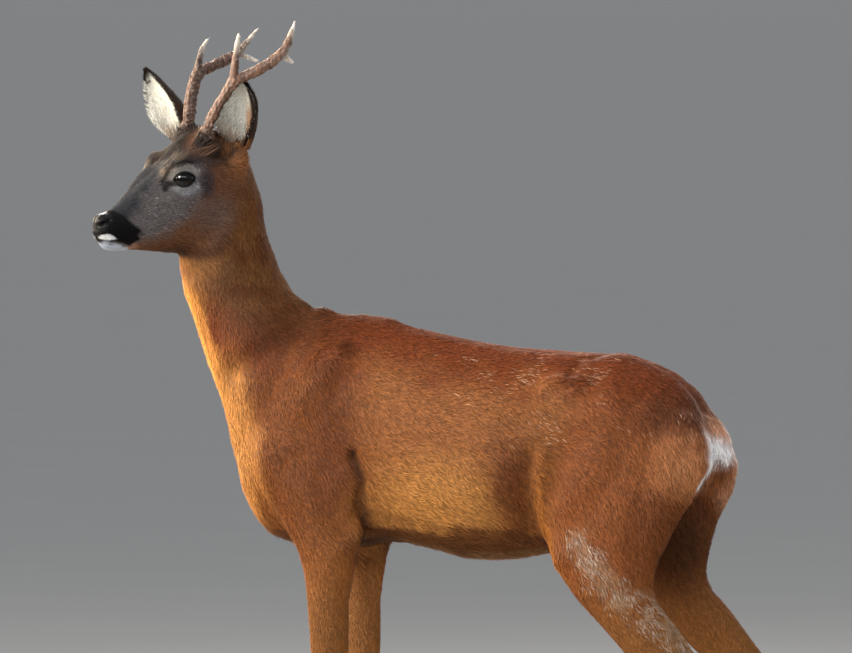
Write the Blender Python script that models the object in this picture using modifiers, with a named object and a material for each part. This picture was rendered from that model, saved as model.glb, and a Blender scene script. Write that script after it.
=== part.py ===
# Roe deer buck in its summer coat, life size, standing still with the head turned to its left.
# Metres, +Z up. The body lies along X and faces -X, so the animal's left side is -Y.
# The soles stand on z = 0, and the origin is under the middle of the whole model.
from math import cos, pi, radians, sin

import bmesh
import bpy
from mathutils import Matrix, Vector

for old in list(bpy.data.objects):
    bpy.data.objects.remove(old, do_unlink=True)

GAP = 0.0003            # clear space between neighbouring pieces
FORM_VOXEL = 0.0055     # grid on which the lofted forms melt into one body
FORM_SMOOTHING = 6      # rounds of smoothing that follow
BODY_SHARE = 0.0382     # of the melted faces, kept on the trunk, neck and legs
HEAD_SHARE = 0.115      # and kept on the head
RING_SIDES = 28         # points round a loft
SPAN_RINGS = 4          # rings between two stations

HEAD_PLACE = Vector((-0.255, -0.020, 0.870))  # middle of the skull's back, at the height of the eyes
HEAD_TURN = radians(47)    # to the animal's left
HEAD_ROLL = radians(-5)    # the right side a little higher
EYE_RADIUS = 0.0138
EYE_PLACE = Vector((0.064, 0.0335, 0.003))    # in the head's frame: forward, left, up
EAR_WIDTH = 0.058
EAR_SKIN = 0.0042
# Each ear's root and tip (forward, outward, up), and the way its opening faces
EARS = {
    "left": ((-0.0062, 0.0331, 0.0381), (-0.0090, 0.0330, 0.1241), (0.85, 0.48, -0.10)),
    "right": ((0.020, 0.042, 0.038), (0.039, 0.125, 0.119), (0.95, -0.20, -0.20)),
}
CORONET_HEIGHT = 0.034     # top of the claws above the floor
CLAW_WIDTH = 0.0152
CLAW_SET_BACK = 0.003      # of the claws' middle behind the foot's
DEWCLAW_RADIUS = 0.0062
DEWCLAW_LENGTH = 0.017
DEWCLAW_APART = 0.0176
DEWCLAW_LIFT = 0.003       # of its middle above the back of the pastern
DEWCLAW_LEAN = 24          # degrees

# Trunk: place along x, back, belly, half-width, level of the widest girth (0 belly, 1 back)
TRUNK = (
    (-0.230, 0.610, 0.500, 0.032, 0.50),
    (-0.202, 0.664, 0.452, 0.057, 0.50),
    (-0.152, 0.705, 0.428, 0.071, 0.52),
    (-0.095, 0.7075, 0.427, 0.079, 0.50),
    (-0.030, 0.696, 0.431, 0.086, 0.46),
    (0.050, 0.680, 0.418, 0.096, 0.45),
    (0.105, 0.6715, 0.417, 0.099, 0.46),
    (0.155, 0.6675, 0.425, 0.095, 0.50),
    (0.205, 0.6655, 0.441, 0.088, 0.56),
    (0.250, 0.6625, 0.458, 0.082, 0.60),
    (0.300, 0.641, 0.475, 0.070, 0.62),
    (0.333, 0.604, 0.490, 0.052, 0.62),
    (0.356, 0.568, 0.505, 0.032, 0.60),
)

# Neck, in level slices from the brisket up: height, middle x and y, fore-and-aft half-depth,
# half-width, turn to the left in degrees
NECK = (
    (0.435, -0.136, 0.000, 0.040, 0.032, 0),
    (0.465, -0.144, 0.000, 0.066, 0.048, 0),
    (0.510, -0.153, 0.000, 0.077, 0.057, 0),
    (0.560, -0.162, 0.000, 0.083, 0.062, 0),
    (0.610, -0.175, 0.000, 0.085, 0.062, 0),
    (0.655, -0.193, 0.000, 0.084, 0.059, 4),
    (0.700, -0.2145, -0.001, 0.0765, 0.053, 10),
    (0.738, -0.2350, -0.004, 0.0670, 0.0475, 18),
    (0.770, -0.2455, -0.009, 0.0605, 0.0445, 26),
    (0.815, -0.2530, -0.014, 0.0560, 0.0430, 36),
    (0.855, -0.2570, -0.020, 0.0530, 0.0420, 44),
    (0.890, -0.262, -0.028, 0.044, 0.039, 47),
)

# Head, in its own frame with height 0 at the eyes: place forward, top, bottom, half-width, widest level
HEAD = (
    (-0.040, 0.012, -0.052, 0.025, 0.55),
    (-0.022, 0.040, -0.075, 0.038, 0.60),
    (0.000, 0.054, -0.086, 0.0445, 0.62),
    (0.022, 0.0585, -0.090, 0.0465, 0.62),
    (0.042, 0.0525, -0.0905, 0.0465, 0.64),
    (0.062, 0.0370, -0.0900, 0.0445, 0.68),
    (0.082, 0.0165, -0.0885, 0.0375, 0.62),
    (0.102, 0.0010, -0.0870, 0.0295, 0.48),
    (0.122, -0.0180, -0.0860, 0.0240, 0.45),
    (0.138, -0.0330, -0.0865, 0.0212, 0.48),
    (0.150, -0.0385, -0.0845, 0.0195, 0.54),
    (0.158, -0.0405, -0.0765, 0.0175, 0.60),
    (0.1635, -0.0455, -0.0650, 0.0130, 0.60),
)

# Legs, in level slices from the top down: height, middle x, half-depth, outward place y, half-width
FORE_LEG = (
    (0.600, -0.135, 0.060, 0.042, 0.026),
    (0.550, -0.128, 0.064, 0.050, 0.029),
    (0.500, -0.120, 0.062, 0.054, 0.030),
    (0.460, -0.111, 0.052, 0.056, 0.029),
    (0.420, -0.103, 0.038, 0.058, 0.0265),
    (0.370, -0.1025, 0.0285, 0.0600, 0.0220),
    (0.310, -0.1010, 0.0255, 0.0605, 0.0195),
    (0.268, -0.0995, 0.0205, 0.0605, 0.0165),
    (0.240, -0.1000, 0.0185, 0.0600, 0.0170),
    (0.222, -0.1005, 0.0195, 0.0600, 0.0175),
    (0.200, -0.0990, 0.0165, 0.0600, 0.0150),
    (0.172, -0.0970, 0.0133, 0.0595, 0.0112),
    (0.125, -0.0950, 0.0123, 0.0590, 0.0102),
    (0.098, -0.0945, 0.0145, 0.0590, 0.0122),
    (0.080, -0.0965, 0.0178, 0.0590, 0.0152),
    (0.060, -0.1050, 0.0158, 0.0590, 0.0148),
    (0.042, -0.1135, 0.0165, 0.0590, 0.0158),
    (0.026, -0.1185, 0.0165, 0.0590, 0.0158),
)
HIND_LEG = (
    (0.600, 0.250, 0.070, 0.040, 0.030),
    (0.550, 0.262, 0.092, 0.047, 0.036),
    (0.505, 0.258, 0.100, 0.052, 0.039),
    (0.462, 0.246, 0.086, 0.056, 0.038),
    (0.420, 0.243, 0.066, 0.060, 0.034),
    (0.382, 0.253, 0.0530, 0.062, 0.0295),
    (0.348, 0.283, 0.0495, 0.064, 0.0255),
    (0.316, 0.309, 0.0465, 0.065, 0.0215),
    (0.289, 0.334, 0.0420, 0.0655, 0.0185),
    (0.270, 0.350, 0.0365, 0.0660, 0.0180),
    (0.250, 0.3545, 0.0290, 0.0660, 0.0180),
    (0.226, 0.3525, 0.0205, 0.0660, 0.0155),
    (0.190, 0.3430, 0.0155, 0.0655, 0.0122),
    (0.135, 0.3250, 0.0143, 0.0650, 0.0108),
    (0.100, 0.3135, 0.0155, 0.0650, 0.0125),
    (0.080, 0.3060, 0.0182, 0.0650, 0.0155),
    (0.060, 0.2950, 0.0160, 0.0650, 0.0150),
    (0.042, 0.2860, 0.0165, 0.0650, 0.0160),
    (0.026, 0.2810, 0.0165, 0.0650, 0.0160),
)
# How the right hind leg stands against the left one: its hock is set back and higher
SET_BACK = ((0.600, 0.000), (0.420, 0.028), (0.270, 0.030), (0.080, 0.052), (0.000, 0.052))
LIFT = ((0.600, 0.000), (0.420, 0.010), (0.270, 0.014), (0.080, 0.002), (0.000, 0.000))

# Muscles that stand out from the lofts, the same on both sides: name, place (x, outward y, z),
# half-sizes, lean in degrees about y, and yaw in degrees outward
MUSCLES = (
    ("shoulder_blade", (-0.118, 0.052, 0.600), (0.045, 0.024, 0.086), 22, 0),
    ("upper_arm", (-0.150, 0.052, 0.515), (0.042, 0.026, 0.070), -28, -10),
    ("triceps", (-0.093, 0.060, 0.505), (0.044, 0.021, 0.062), 12, 0),
    ("thigh", (0.222, 0.058, 0.510), (0.068, 0.036, 0.100), 10, 0),
    ("hip", (0.190, 0.057, 0.612), (0.052, 0.024, 0.034), 0, 0),
    ("buttock", (0.306, 0.038, 0.545), (0.055, 0.034, 0.066), -24, 12),
    ("stifle", (0.200, 0.066, 0.430), (0.026, 0.024, 0.036), -18, 0),
    ("point_of_elbow", (-0.072, 0.062, 0.448), (0.016, 0.014, 0.026), 10, 0),
)

# Antlers, in the head's frame: points of each length (forward, outward, up) and radius
ANTLERS = {
    "left": {
        "beam": (
            ((0.0320, 0.0225, 0.036), 0.0095),
            ((0.0310, 0.0235, 0.054), 0.0098),
            ((0.0262, 0.0255, 0.072), 0.0080),
            ((0.0195, 0.0300, 0.091), 0.0072),
            ((0.0092, 0.0360, 0.111), 0.0074),
            ((0.0026, 0.0405, 0.123), 0.0078),
        ),
        "front_tine": (
            ((0.0060, 0.0395, 0.119), 0.0056),
            ((0.0062, 0.0410, 0.132), 0.0046),
            ((0.0048, 0.0415, 0.150), 0.0042),
            ((0.0030, 0.0405, 0.164), 0.0034),
            ((0.0009, 0.0390, 0.1775), 0.0012),
        ),
        "top_tine": (
            ((0.0030, 0.0400, 0.121), 0.0062),
            ((-0.0190, 0.0500, 0.1335), 0.0066),
            ((-0.0356, 0.0580, 0.1460), 0.0064),
            ((-0.0494, 0.0615, 0.1598), 0.0054),
            ((-0.0590, 0.0580, 0.1755), 0.0040),
            ((-0.0677, 0.0520, 0.1935), 0.0012),
        ),
        "back_tine": (
            ((-0.0462, 0.0605, 0.1545), 0.0034),
            ((-0.0560, 0.0585, 0.1480), 0.0030),
            ((-0.0660, 0.0520, 0.1435), 0.0012),
        ),
    },
    "right": {
        "beam": (
            ((0.0310, 0.0225, 0.038), 0.0095),
            ((0.0300, 0.0235, 0.056), 0.0098),
            ((0.0262, 0.0260, 0.080), 0.0084),
            ((0.0216, 0.0300, 0.098), 0.0082),
            ((0.0144, 0.0360, 0.115), 0.0080),
            ((0.0080, 0.0405, 0.126), 0.0078),
        ),
        "front_tine": (
            ((0.0110, 0.0395, 0.120), 0.0056),
            ((0.0106, 0.0410, 0.134), 0.0042),
            ((0.0084, 0.0415, 0.146), 0.0036),
            ((0.0044, 0.0405, 0.157), 0.0028),
            ((-0.0026, 0.0390, 0.1655), 0.0011),
        ),
        "top_tine": (
            ((0.0080, 0.0400, 0.123), 0.0062),
            ((-0.0180, 0.0490, 0.1320), 0.0066),
            ((-0.0430, 0.0575, 0.1400), 0.0060),
            ((-0.0578, 0.0600, 0.1510), 0.0048),
            ((-0.0676, 0.0575, 0.1640), 0.0032),
            ((-0.0755, 0.0520, 0.1765), 0.0011),
        ),
        "back_tine": (
            ((-0.0500, 0.0590, 0.1450), 0.0034),
            ((-0.0640, 0.0580, 0.1395), 0.0028),
            ((-0.0750, 0.0520, 0.1350), 0.0011),
        ),
    },
}
CORONET_PLACE = Vector((0.0300, 0.0245, 0.057))
CORONET_RADIUS = 0.0145
CORONET_THICKNESS = 0.010
BEVEL_RESOLUTION = 2    # eight sides round a tine

# Thin cuts that part the body, taken in this order: name, middle of the cutting box (x, outward y, z),
# its half-sizes and its lean in degrees about y. Every box but the middle ones has a left and a right.
FOOT_CUTS = (
    ("fore_pastern", (-0.100, 0.100, 0.040), (0.090, 0.090, 0.050), 0),
    ("fore_cannon", (-0.100, 0.100, 0.120), (0.090, 0.090, 0.110), 0),
    ("forearm", (-0.120, 0.120, 0.268), (0.100, 0.100, 0.190), -6),
    ("hind_pastern", (0.320, 0.100, 0.040), (0.120, 0.090, 0.050), 0),
    ("hind_cannon", (0.340, 0.100, 0.140), (0.120, 0.090, 0.115), -14),
    ("hind_shank", (0.300, 0.100, 0.240), (0.200, 0.090, 0.150), -9),
    ("thigh", (0.284, 0.108, 0.380), (0.150, 0.098, 0.110), -16),
)
NECK_CUT = ((-0.185, 0.655), 33)     # point (x, z) on the cut, and lean of its normal from upright
HEAD_CUT = ((-0.010, -0.040), 58)    # the same, in the head's frame
CUT_REACH = 0.30                     # half-size of those two boxes

# Colours in linear light, with roughness
MATERIALS = {
    "red_coat": ((0.26, 0.085, 0.030), 0.8),
    "grey_face": ((0.13, 0.105, 0.085), 0.8),
    "pale_ear": ((0.62, 0.56, 0.45), 0.85),
    "antler": ((0.20, 0.12, 0.07), 0.5),
    "antler_tip": ((0.62, 0.55, 0.45), 0.35),
    "eye": ((0.008, 0.006, 0.005), 0.05),
    "hoof": ((0.020, 0.016, 0.014), 0.35),
    "rump": ((0.68, 0.66, 0.62), 0.85),
}


def material(name):
    made = bpy.data.materials.get(name)
    if made is None:
        colour, roughness = MATERIALS[name]
        made = bpy.data.materials.new(name)
        made.use_nodes = True
        shader = made.node_tree.nodes["Principled BSDF"]
        shader.inputs["Base Color"].default_value = (*colour, 1.0)
        shader.inputs["Roughness"].default_value = roughness
        shader.inputs["Metallic"].default_value = 0.0
    return made


def collection(name):
    made = bpy.data.collections.new(name)
    bpy.context.scene.collection.children.link(made)
    return made


DEER = collection("roe_deer")
CUTTERS = collection("cutters")


def object_from(mesh, name, home):
    made = bpy.data.objects.new(name, mesh)
    home.objects.link(made)
    if home is CUTTERS:
        made.hide_render = True
        made.display_type = "WIRE"
    return made


def mesh_from(bm, name):
    bmesh.ops.recalc_face_normals(bm, faces=bm.faces)
    mesh = bpy.data.meshes.new(name)
    bm.to_mesh(mesh)
    bm.free()
    return mesh


def settle(piece):
    # Take the modifiers' result as the object's own mesh.
    graph = bpy.context.evaluated_depsgraph_get()
    mesh = bpy.data.meshes.new_from_object(piece.evaluated_get(graph))
    piece.modifiers.clear()
    piece.data = mesh
    return piece


def to_deer(piece):
    # A finished form becomes one of the deer's own pieces.
    CUTTERS.objects.unlink(piece)
    DEER.objects.link(piece)
    piece.hide_render = False
    piece.display_type = "TEXTURED"


def discard(*pieces):
    for piece in pieces:
        bpy.data.objects.remove(piece, do_unlink=True)


def between(rows, steps):
    # A Catmull-Rom curve through rows of numbers.
    rows = [tuple(row) for row in rows]
    padded = [rows[0], *rows, rows[-1]]
    for i in range(1, len(rows)):
        a, b, c, d = padded[i - 1:i + 3]
        for step in range(steps):
            t = step / steps
            yield tuple(
                0.5 * (2 * q + (r - p) * t + (2 * p - 5 * q + 4 * r - s) * t * t
                       + (3 * q - p - 3 * r + s) * t ** 3)
                for p, q, r, s in zip(a, b, c, d)
            )
    yield rows[-1]


def value_at(pairs, place):
    # Straight lines between (place, value) pairs, whose places fall.
    for (high, first), (low, second) in zip(pairs, pairs[1:]):
        if place >= low:
            share = min(1.0, (high - place) / (high - low))
            return first + (second - first) * share
    return pairs[-1][1]


def loft(name, rings, frame=Matrix.Identity(4)):
    # A closed skin over rings of points, whose ends are fans to their middles.
    bm = bmesh.new()
    loops = [[bm.verts.new(frame @ point) for point in ring] for ring in rings]
    for lower, upper in zip(loops, loops[1:]):
        for k in range(len(lower)):
            n = (k + 1) % len(lower)
            bm.faces.new((lower[k], lower[n], upper[n], upper[k]))
    for loop in (loops[0], loops[-1]):
        middle = sum((vert.co for vert in loop), Vector()) / len(loop)
        tip = bm.verts.new(middle)
        for k in range(len(loop)):
            bm.faces.new((loop[k], loop[(k + 1) % len(loop)], tip))
    return object_from(mesh_from(bm, name), name, CUTTERS)


def upright_ring(x, top, bottom, half, belt):
    # A ring across x, widest at the belt.
    middle = bottom + belt * (top - bottom)
    ring = []
    for k in range(RING_SIDES):
        a = 2 * pi * k / RING_SIDES
        reach = top - middle if cos(a) > 0 else middle - bottom
        ring.append(Vector((x, half * sin(a), middle + reach * cos(a))))
    return ring


def level_ring(z, x, y, depth, half, turn=0.0, sides=RING_SIDES):
    ring = []
    for k in range(sides):
        a = 2 * pi * k / sides
        along, across = depth * cos(a), half * sin(a)
        ring.append(Vector((x + along * cos(turn) - across * sin(turn),
                            y + along * sin(turn) + across * cos(turn), z)))
    return ring


def head_frame():
    # Forward is +X, the animal's left is +Y.
    return (Matrix.Translation(HEAD_PLACE) @ Matrix.Rotation(pi + HEAD_TURN, 4, "Z")
            @ Matrix.Rotation(HEAD_ROLL, 4, "X"))


def mirrored(point):
    return Vector((point[0], -point[1], point[2]))


def leg(name, stations, side, right_hind=False):
    # side is -1 for the animal's left and 1 for its right.
    rings = []
    for z, x, depth, out, half in between(stations, SPAN_RINGS):
        if right_hind:
            x += value_at(SET_BACK, z)
            z += value_at(LIFT, z)
        rings.append(level_ring(z, x, side * out, depth, half))
    return loft(name, rings)


def muscle(name, place, sizes, lean, yaw, side):
    bm = bmesh.new()
    bmesh.ops.create_uvsphere(bm, u_segments=20, v_segments=14, radius=1.0)
    x, out, z = place
    frame = (Matrix.Translation((x, side * out, z))
             @ Matrix.Rotation(side * radians(yaw), 4, "Z")
             @ Matrix.Rotation(radians(lean), 4, "Y") @ Matrix.Diagonal((*sizes, 1.0)))
    bm.transform(frame)
    return object_from(mesh_from(bm, name), name, CUTTERS)


def body_forms():
    forms = [loft("trunk_form", [upright_ring(*row) for row in between(TRUNK, SPAN_RINGS)])]
    forms.append(loft("neck_form", [
        level_ring(z, x, y, depth, half, radians(turn))
        for z, x, y, depth, half, turn in between(NECK, SPAN_RINGS)
    ]))
    forms.append(loft("head_form", [upright_ring(*row) for row in between(HEAD, SPAN_RINGS)],
                      head_frame()))
    for side in (-1, 1):
        forms.append(leg("fore_leg_form", FORE_LEG, side))
        forms.append(leg("hind_leg_form", HIND_LEG, side, right_hind=side > 0))
        for name, place, sizes, lean, yaw in MUSCLES:
            forms.append(muscle(name, place, sizes, lean, yaw, side))
        forms.append(pedicle(side))
        forms.append(brow(side))
        forms.append(ear_root(side))
    return forms


def ball_form(name, place, radius):
    bm = bmesh.new()
    bmesh.ops.create_uvsphere(bm, u_segments=12, v_segments=8, radius=radius)
    bm.transform(Matrix.Translation(place))
    return object_from(mesh_from(bm, name), name, CUTTERS)


def on_head(point, side):
    point = Vector(point)
    return head_frame() @ (point if side < 0 else mirrored(point))


def pedicle(side):
    return ball_form("pedicle_form", on_head((0.031, 0.0225, 0.044), side), 0.0125)


def brow(side):
    return ball_form("brow_form", on_head((0.0690, 0.0305, 0.0175), side), 0.0150)


def ear_root(side):
    place = (-0.001, 0.043, 0.031) if side > 0 else (-0.006, 0.036, 0.029)
    return ball_form("ear_root_form", on_head(place, side), 0.0170)


def melted_body():
    # All forms melted into one closed body.
    forms = body_forms()
    bm = bmesh.new()
    for form in forms:
        bm.from_mesh(form.data)
    discard(*forms)
    body = object_from(mesh_from(bm, "whole_body"), "whole_body", CUTTERS)
    melt = body.modifiers.new("melt", "REMESH")
    melt.mode = "VOXEL"
    melt.voxel_size = FORM_VOXEL
    soften = body.modifiers.new("soften", "SMOOTH")
    soften.factor = 0.5
    soften.iterations = FORM_SMOOTHING
    return settle(body)


def thinned(body, share):
    lighter = copy_of(body, f"{body.name}_thinned", CUTTERS)
    thin = lighter.modifiers.new("thin", "DECIMATE")
    thin.ratio = share
    return settle(lighter)


def box(name, place, halves, lean, frame=Matrix.Identity(4)):
    bm = bmesh.new()
    bmesh.ops.create_cube(bm, size=2.0)
    bm.transform(frame @ Matrix.Translation(place) @ Matrix.Rotation(radians(lean), 4, "Y")
                 @ Matrix.Diagonal((*halves, 1.0)))
    return object_from(mesh_from(bm, name), name, CUTTERS)


def combine(piece, other, operation):
    cut = piece.modifiers.new(operation.lower(), "BOOLEAN")
    cut.operation = operation
    cut.object = other
    return settle(piece)


def copy_of(piece, name, home):
    return object_from(piece.data.copy(), name, home)


def grown(piece, by):
    wide = copy_of(piece, piece.name + "_grown", CUTTERS)
    swell = wide.modifiers.new("swell", "DISPLACE")
    swell.strength = by
    swell.mid_level = 0.0
    return settle(wide)


def clear_of(piece, neighbour):
    # Cut the piece back to a gap from its neighbour.
    wide = grown(neighbour, 2 * GAP)
    combine(piece, wide, "DIFFERENCE")
    discard(wide)
    return keep_largest(piece)


def keep_largest(piece):
    # Drop the crumbs that a cut leaves on the far side of a neighbour.
    bm = bmesh.new()
    bm.from_mesh(piece.data)
    left, islands = set(bm.verts), []
    while left:
        island, edge = set(), {left.pop()}
        while edge:
            vert = edge.pop()
            island.add(vert)
            edge |= {e.other_vert(vert) for e in vert.link_edges} - island
        left -= island
        islands.append(island)
    kept = max(islands, key=len)
    crumbs = [vert for vert in bm.verts if vert not in kept]
    bmesh.ops.delete(bm, geom=crumbs, context="VERTS")
    bm.to_mesh(piece.data)
    bm.free()
    return piece


def part_off(body, name, place, halves, lean, frame=Matrix.Identity(4)):
    # The piece inside the box leaves the body, with a gap at the cut.
    piece = copy_of(body, name, DEER)
    inner = box("inner_box", place, [half - GAP for half in halves], lean, frame)
    combine(piece, inner, "INTERSECT")
    outer = box("outer_box", place, halves, lean, frame)
    combine(body, outer, "DIFFERENCE")
    discard(inner, outer)
    keep_largest(body)
    return keep_largest(piece)


def part_at_plane(body, name, cut, normal_sign, frame=Matrix.Identity(4)):
    # The piece beyond a plane across the middle, whose normal leans forward from upright.
    (x, z), lean = cut
    tilt = radians(normal_sign * lean)
    place = Vector((x + CUT_REACH * sin(tilt), 0.0, z + CUT_REACH * cos(tilt)))
    return part_off(body, name, place, (CUT_REACH,) * 3, normal_sign * lean, frame)


def finish(piece, finish_name):
    piece.data.materials.clear()
    piece.data.materials.append(material(finish_name))
    piece.data.shade_smooth()
    piece.data.set_sharp_from_angle(angle=radians(50))
    return piece


def side_name(side):
    return "left" if side < 0 else "right"


def part_body(melted):
    # The head comes from a finer copy of the body than the rest.
    fine, body = thinned(melted, HEAD_SHARE), thinned(melted, BODY_SHARE)
    part_at_plane(fine, "head", HEAD_CUT, 1, head_frame())
    discard(part_at_plane(body, "head_stand_in", HEAD_CUT, 1, head_frame()), fine, melted)
    floor_block = box("floor_block", (0, 0, CORONET_HEIGHT + GAP - 1.0), (1.0, 1.0, 1.0), 0)
    combine(body, floor_block, "DIFFERENCE")
    discard(floor_block)
    part_at_plane(body, "neck", NECK_CUT, -1)
    for side in (-1, 1):
        for name, (x, out, z), halves, lean in FOOT_CUTS:
            part_off(body, f"{name}_{side_name(side)}", (x, side * out, z), halves, lean)
    body.name = "trunk"
    to_deer(body)


def tube(name, stations, side, steps=2):
    curve = bpy.data.curves.new(name, "CURVE")
    curve.dimensions = "3D"
    curve.bevel_depth = 1.0
    curve.bevel_resolution = BEVEL_RESOLUTION
    curve.use_fill_caps = True
    rows = list(between([(*point, radius) for point, radius in stations], steps))
    spline = curve.splines.new("POLY")
    spline.points.add(len(rows) - 1)
    for vertex, (x, y, z, radius) in zip(spline.points, rows):
        vertex.co = (*on_head((x, y, z), side), 1.0)
        vertex.radius = radius
    bar = bpy.data.objects.new(name, curve)
    CUTTERS.objects.link(bar)
    graph = bpy.context.evaluated_depsgraph_get()
    mesh = bpy.data.meshes.new_from_object(bar.evaluated_get(graph))
    bpy.data.objects.remove(bar, do_unlink=True)
    bm = bmesh.new()
    bm.from_mesh(mesh)
    bmesh.ops.remove_doubles(bm, verts=bm.verts, dist=0.00001)
    return object_from(mesh_from(bm, name), name, DEER)


def coronet(side):
    bm = bmesh.new()
    bmesh.ops.create_cone(bm, cap_ends=True, segments=18, radius1=CORONET_RADIUS,
                          radius2=CORONET_RADIUS * 0.84, depth=CORONET_THICKNESS)
    frame = Matrix.Translation(CORONET_PLACE) @ Matrix.Rotation(radians(-24), 4, "Y")
    if side > 0:
        frame = Matrix.Diagonal((1, -1, 1, 1)) @ frame
    bm.transform(head_frame() @ frame)
    return object_from(mesh_from(bm, "coronet_form"), "coronet_form", CUTTERS)


def antler(head, side):
    where = side_name(side)
    lengths = ANTLERS[where]
    beam = tube(f"antler_{where}_beam", lengths["beam"], side)
    rim = coronet(side)
    combine(beam, rim, "UNION")
    discard(rim)
    clear_of(beam, head)
    front, top, back = (tube(f"antler_{where}_{name}", lengths[name], side)
                        for name in ("front_tine", "top_tine", "back_tine"))
    clear_of(front, beam)
    clear_of(top, beam)
    clear_of(top, front)
    clear_of(back, top)
    finish(beam, "antler")
    for tine in (front, top, back):
        finish(tine, "antler_tip" if tine is back else "antler")


def ear_point(along, across, side):
    # On the middle of the ear's skin: along runs 0 to 1 from the root, across -1 to 1 over the cup.
    root, tip, opening = (Vector(row) for row in EARS[side_name(side)])
    length = (tip - root).length
    axis = (tip - root).normalized()
    opening = (opening - opening.dot(axis) * axis).normalized()
    sideways = axis.cross(opening)
    swell = sin(pi * (0.08 + 0.86 * along ** 0.8)) ** 0.8
    radius = 0.5 * EAR_WIDTH * (0.12 + 0.88 * swell) * (1.0 - 0.55 * along ** 6)
    curl = radians(118 - 62 * along ** 0.7)
    angle = across * curl
    bend = -0.010 * sin(pi * along)
    point = (root + axis * (length * along) + sideways * (radius * sin(angle))
             - opening * (radius * (cos(angle) - cos(curl) * 0.4) + bend))
    return on_head(point, side)


def ear(head, side):
    name = f"ear_{side_name(side)}"
    rows, columns = 8, 9
    bm = bmesh.new()
    grid = [[bm.verts.new(ear_point(i / (rows - 1), 2 * j / (columns - 1) - 1, side))
             for j in range(columns)] for i in range(rows)]
    for lower, upper in zip(grid, grid[1:]):
        for j in range(columns - 1):
            bm.faces.new((lower[j], lower[j + 1], upper[j + 1], upper[j]))
    piece = object_from(mesh_from(bm, name), name, DEER)
    thicken = piece.modifiers.new("thicken", "SOLIDIFY")
    thicken.thickness = EAR_SKIN
    thicken.offset = 0.0
    settle(piece)
    bm = bmesh.new()
    bm.from_mesh(piece.data)
    piece.data = mesh_from(bm, name)
    clear_of(piece, head)
    for length in ("beam", "top_tine"):
        clear_of(piece, bpy.data.objects[f"antler_{side_name(side)}_{length}"])
    return finish(piece, "pale_ear")


def eye(head, side):
    place = on_head(EYE_PLACE, side)
    socket = ball_form("socket_form", place, EYE_RADIUS + GAP)
    combine(head, socket, "DIFFERENCE")
    discard(socket)
    name = f"eye_{side_name(side)}"
    piece = ball_form(name, place, EYE_RADIUS)
    to_deer(piece)
    return finish(piece, "eye")


def claw_ring(height, heel, toe, half, inner):
    # Blunt at the heel, pointed at the toe, flatter on the side that faces the other claw.
    ring = []
    for k in range(12):
        a = 2 * pi * k / 12
        forward = 0.5 * (1 - cos(a))
        x = heel + (toe - heel) * forward
        width = half * (1 - 0.55 * forward ** 3)
        across = sin(a) * width
        if across * inner > 0:
            across *= 0.72
        ring.append(Vector((x, across, height)))
    return ring


def claw(name, middle_x, middle_y, inner):
    # inner is the direction along y of the claw beside it.
    half = CLAW_WIDTH / 2
    levels = (
        (0.000, 0.0165, -0.0290, 0.94),
        (0.004, 0.0185, -0.0300, 1.00),
        (0.018, 0.0175, -0.0225, 1.02),
        (CORONET_HEIGHT, 0.0155, -0.0135, 0.98),
    )
    rings = [claw_ring(height, heel, toe, half * wide, inner) for height, heel, toe, wide in levels]
    piece = loft(name, rings, Matrix.Translation((middle_x, middle_y - inner * half * 0.86, 0)))
    to_deer(piece)
    return finish(piece, "hoof")


def dewclaw(name, place, pastern):
    bm = bmesh.new()
    bmesh.ops.create_cone(bm, cap_ends=True, segments=10, radius1=DEWCLAW_RADIUS * 0.42,
                          radius2=DEWCLAW_RADIUS, depth=DEWCLAW_LENGTH)
    bm.transform(Matrix.Translation(place) @ Matrix.Rotation(radians(DEWCLAW_LEAN), 4, "Y"))
    piece = object_from(mesh_from(bm, name), name, DEER)
    clear_of(piece, pastern)
    return finish(piece, "hoof")


def feet():
    for pair, stations in (("fore", FORE_LEG), ("hind", HIND_LEG)):
        for side in (-1, 1):
            _, x, _, out, _ = stations[-1]
            heel_z, heel_x, heel_depth, _, _ = stations[-3]
            back = value_at(SET_BACK, 0.0) if pair == "hind" and side > 0 else 0.0
            where = side_name(side)
            pastern = bpy.data.objects[f"{pair}_pastern_{where}"]
            for claw_side in (-1, 1):
                outer = "outer" if claw_side == side else "inner"
                claw(f"claw_{pair}_{where}_{outer}", x + back + CLAW_SET_BACK, side * out, -claw_side)
                place = (heel_x + heel_depth + back, side * out + claw_side * DEWCLAW_APART / 2,
                         heel_z + DEWCLAW_LIFT)
                dewclaw(f"dewclaw_{pair}_{where}_{outer}", place, pastern)


def tail(trunk):
    rings = []
    for k in range(5):
        t = k / 4
        wide = 0.0125 * sin(pi * (0.16 + 0.80 * t)) ** 0.6
        rings.append(level_ring(0.590 - 0.052 * t, 0.352 + 0.022 * t ** 0.7, 0.0, wide * 0.8, wide,
                                sides=12))
    piece = loft("tail", rings[::-1])
    to_deer(piece)
    clear_of(piece, trunk)
    return finish(piece, "rump")


def stand_on_origin():
    # One empty carries the deer and puts the middle of its box over the origin.
    corners = [vert.co for piece in DEER.objects for vert in piece.data.vertices]
    middle = [0.5 * (min(co[i] for co in corners) + max(co[i] for co in corners)) for i in (0, 1)]
    stance = bpy.data.objects.new("stance", None)
    for piece in list(DEER.objects):
        piece.parent = stance
    DEER.objects.link(stance)
    stance.location = (-middle[0], -middle[1], 0.0)


part_body(melted_body())
head = bpy.data.objects["head"]
for side in (-1, 1):
    eye(head, side)
for side in (-1, 1):
    antler(head, side)
    ear(head, side)
feet()
tail(bpy.data.objects["trunk"])
for piece in list(DEER.objects):
    if not piece.data.materials:
        finish(piece, "grey_face" if piece.name == "head" else "red_coat")
stand_on_origin()
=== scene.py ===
from itertools import product
from math import cos, pi, radians, sin

import bmesh
import bpy
import numpy as np
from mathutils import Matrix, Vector
from mathutils.kdtree import KDTree


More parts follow.
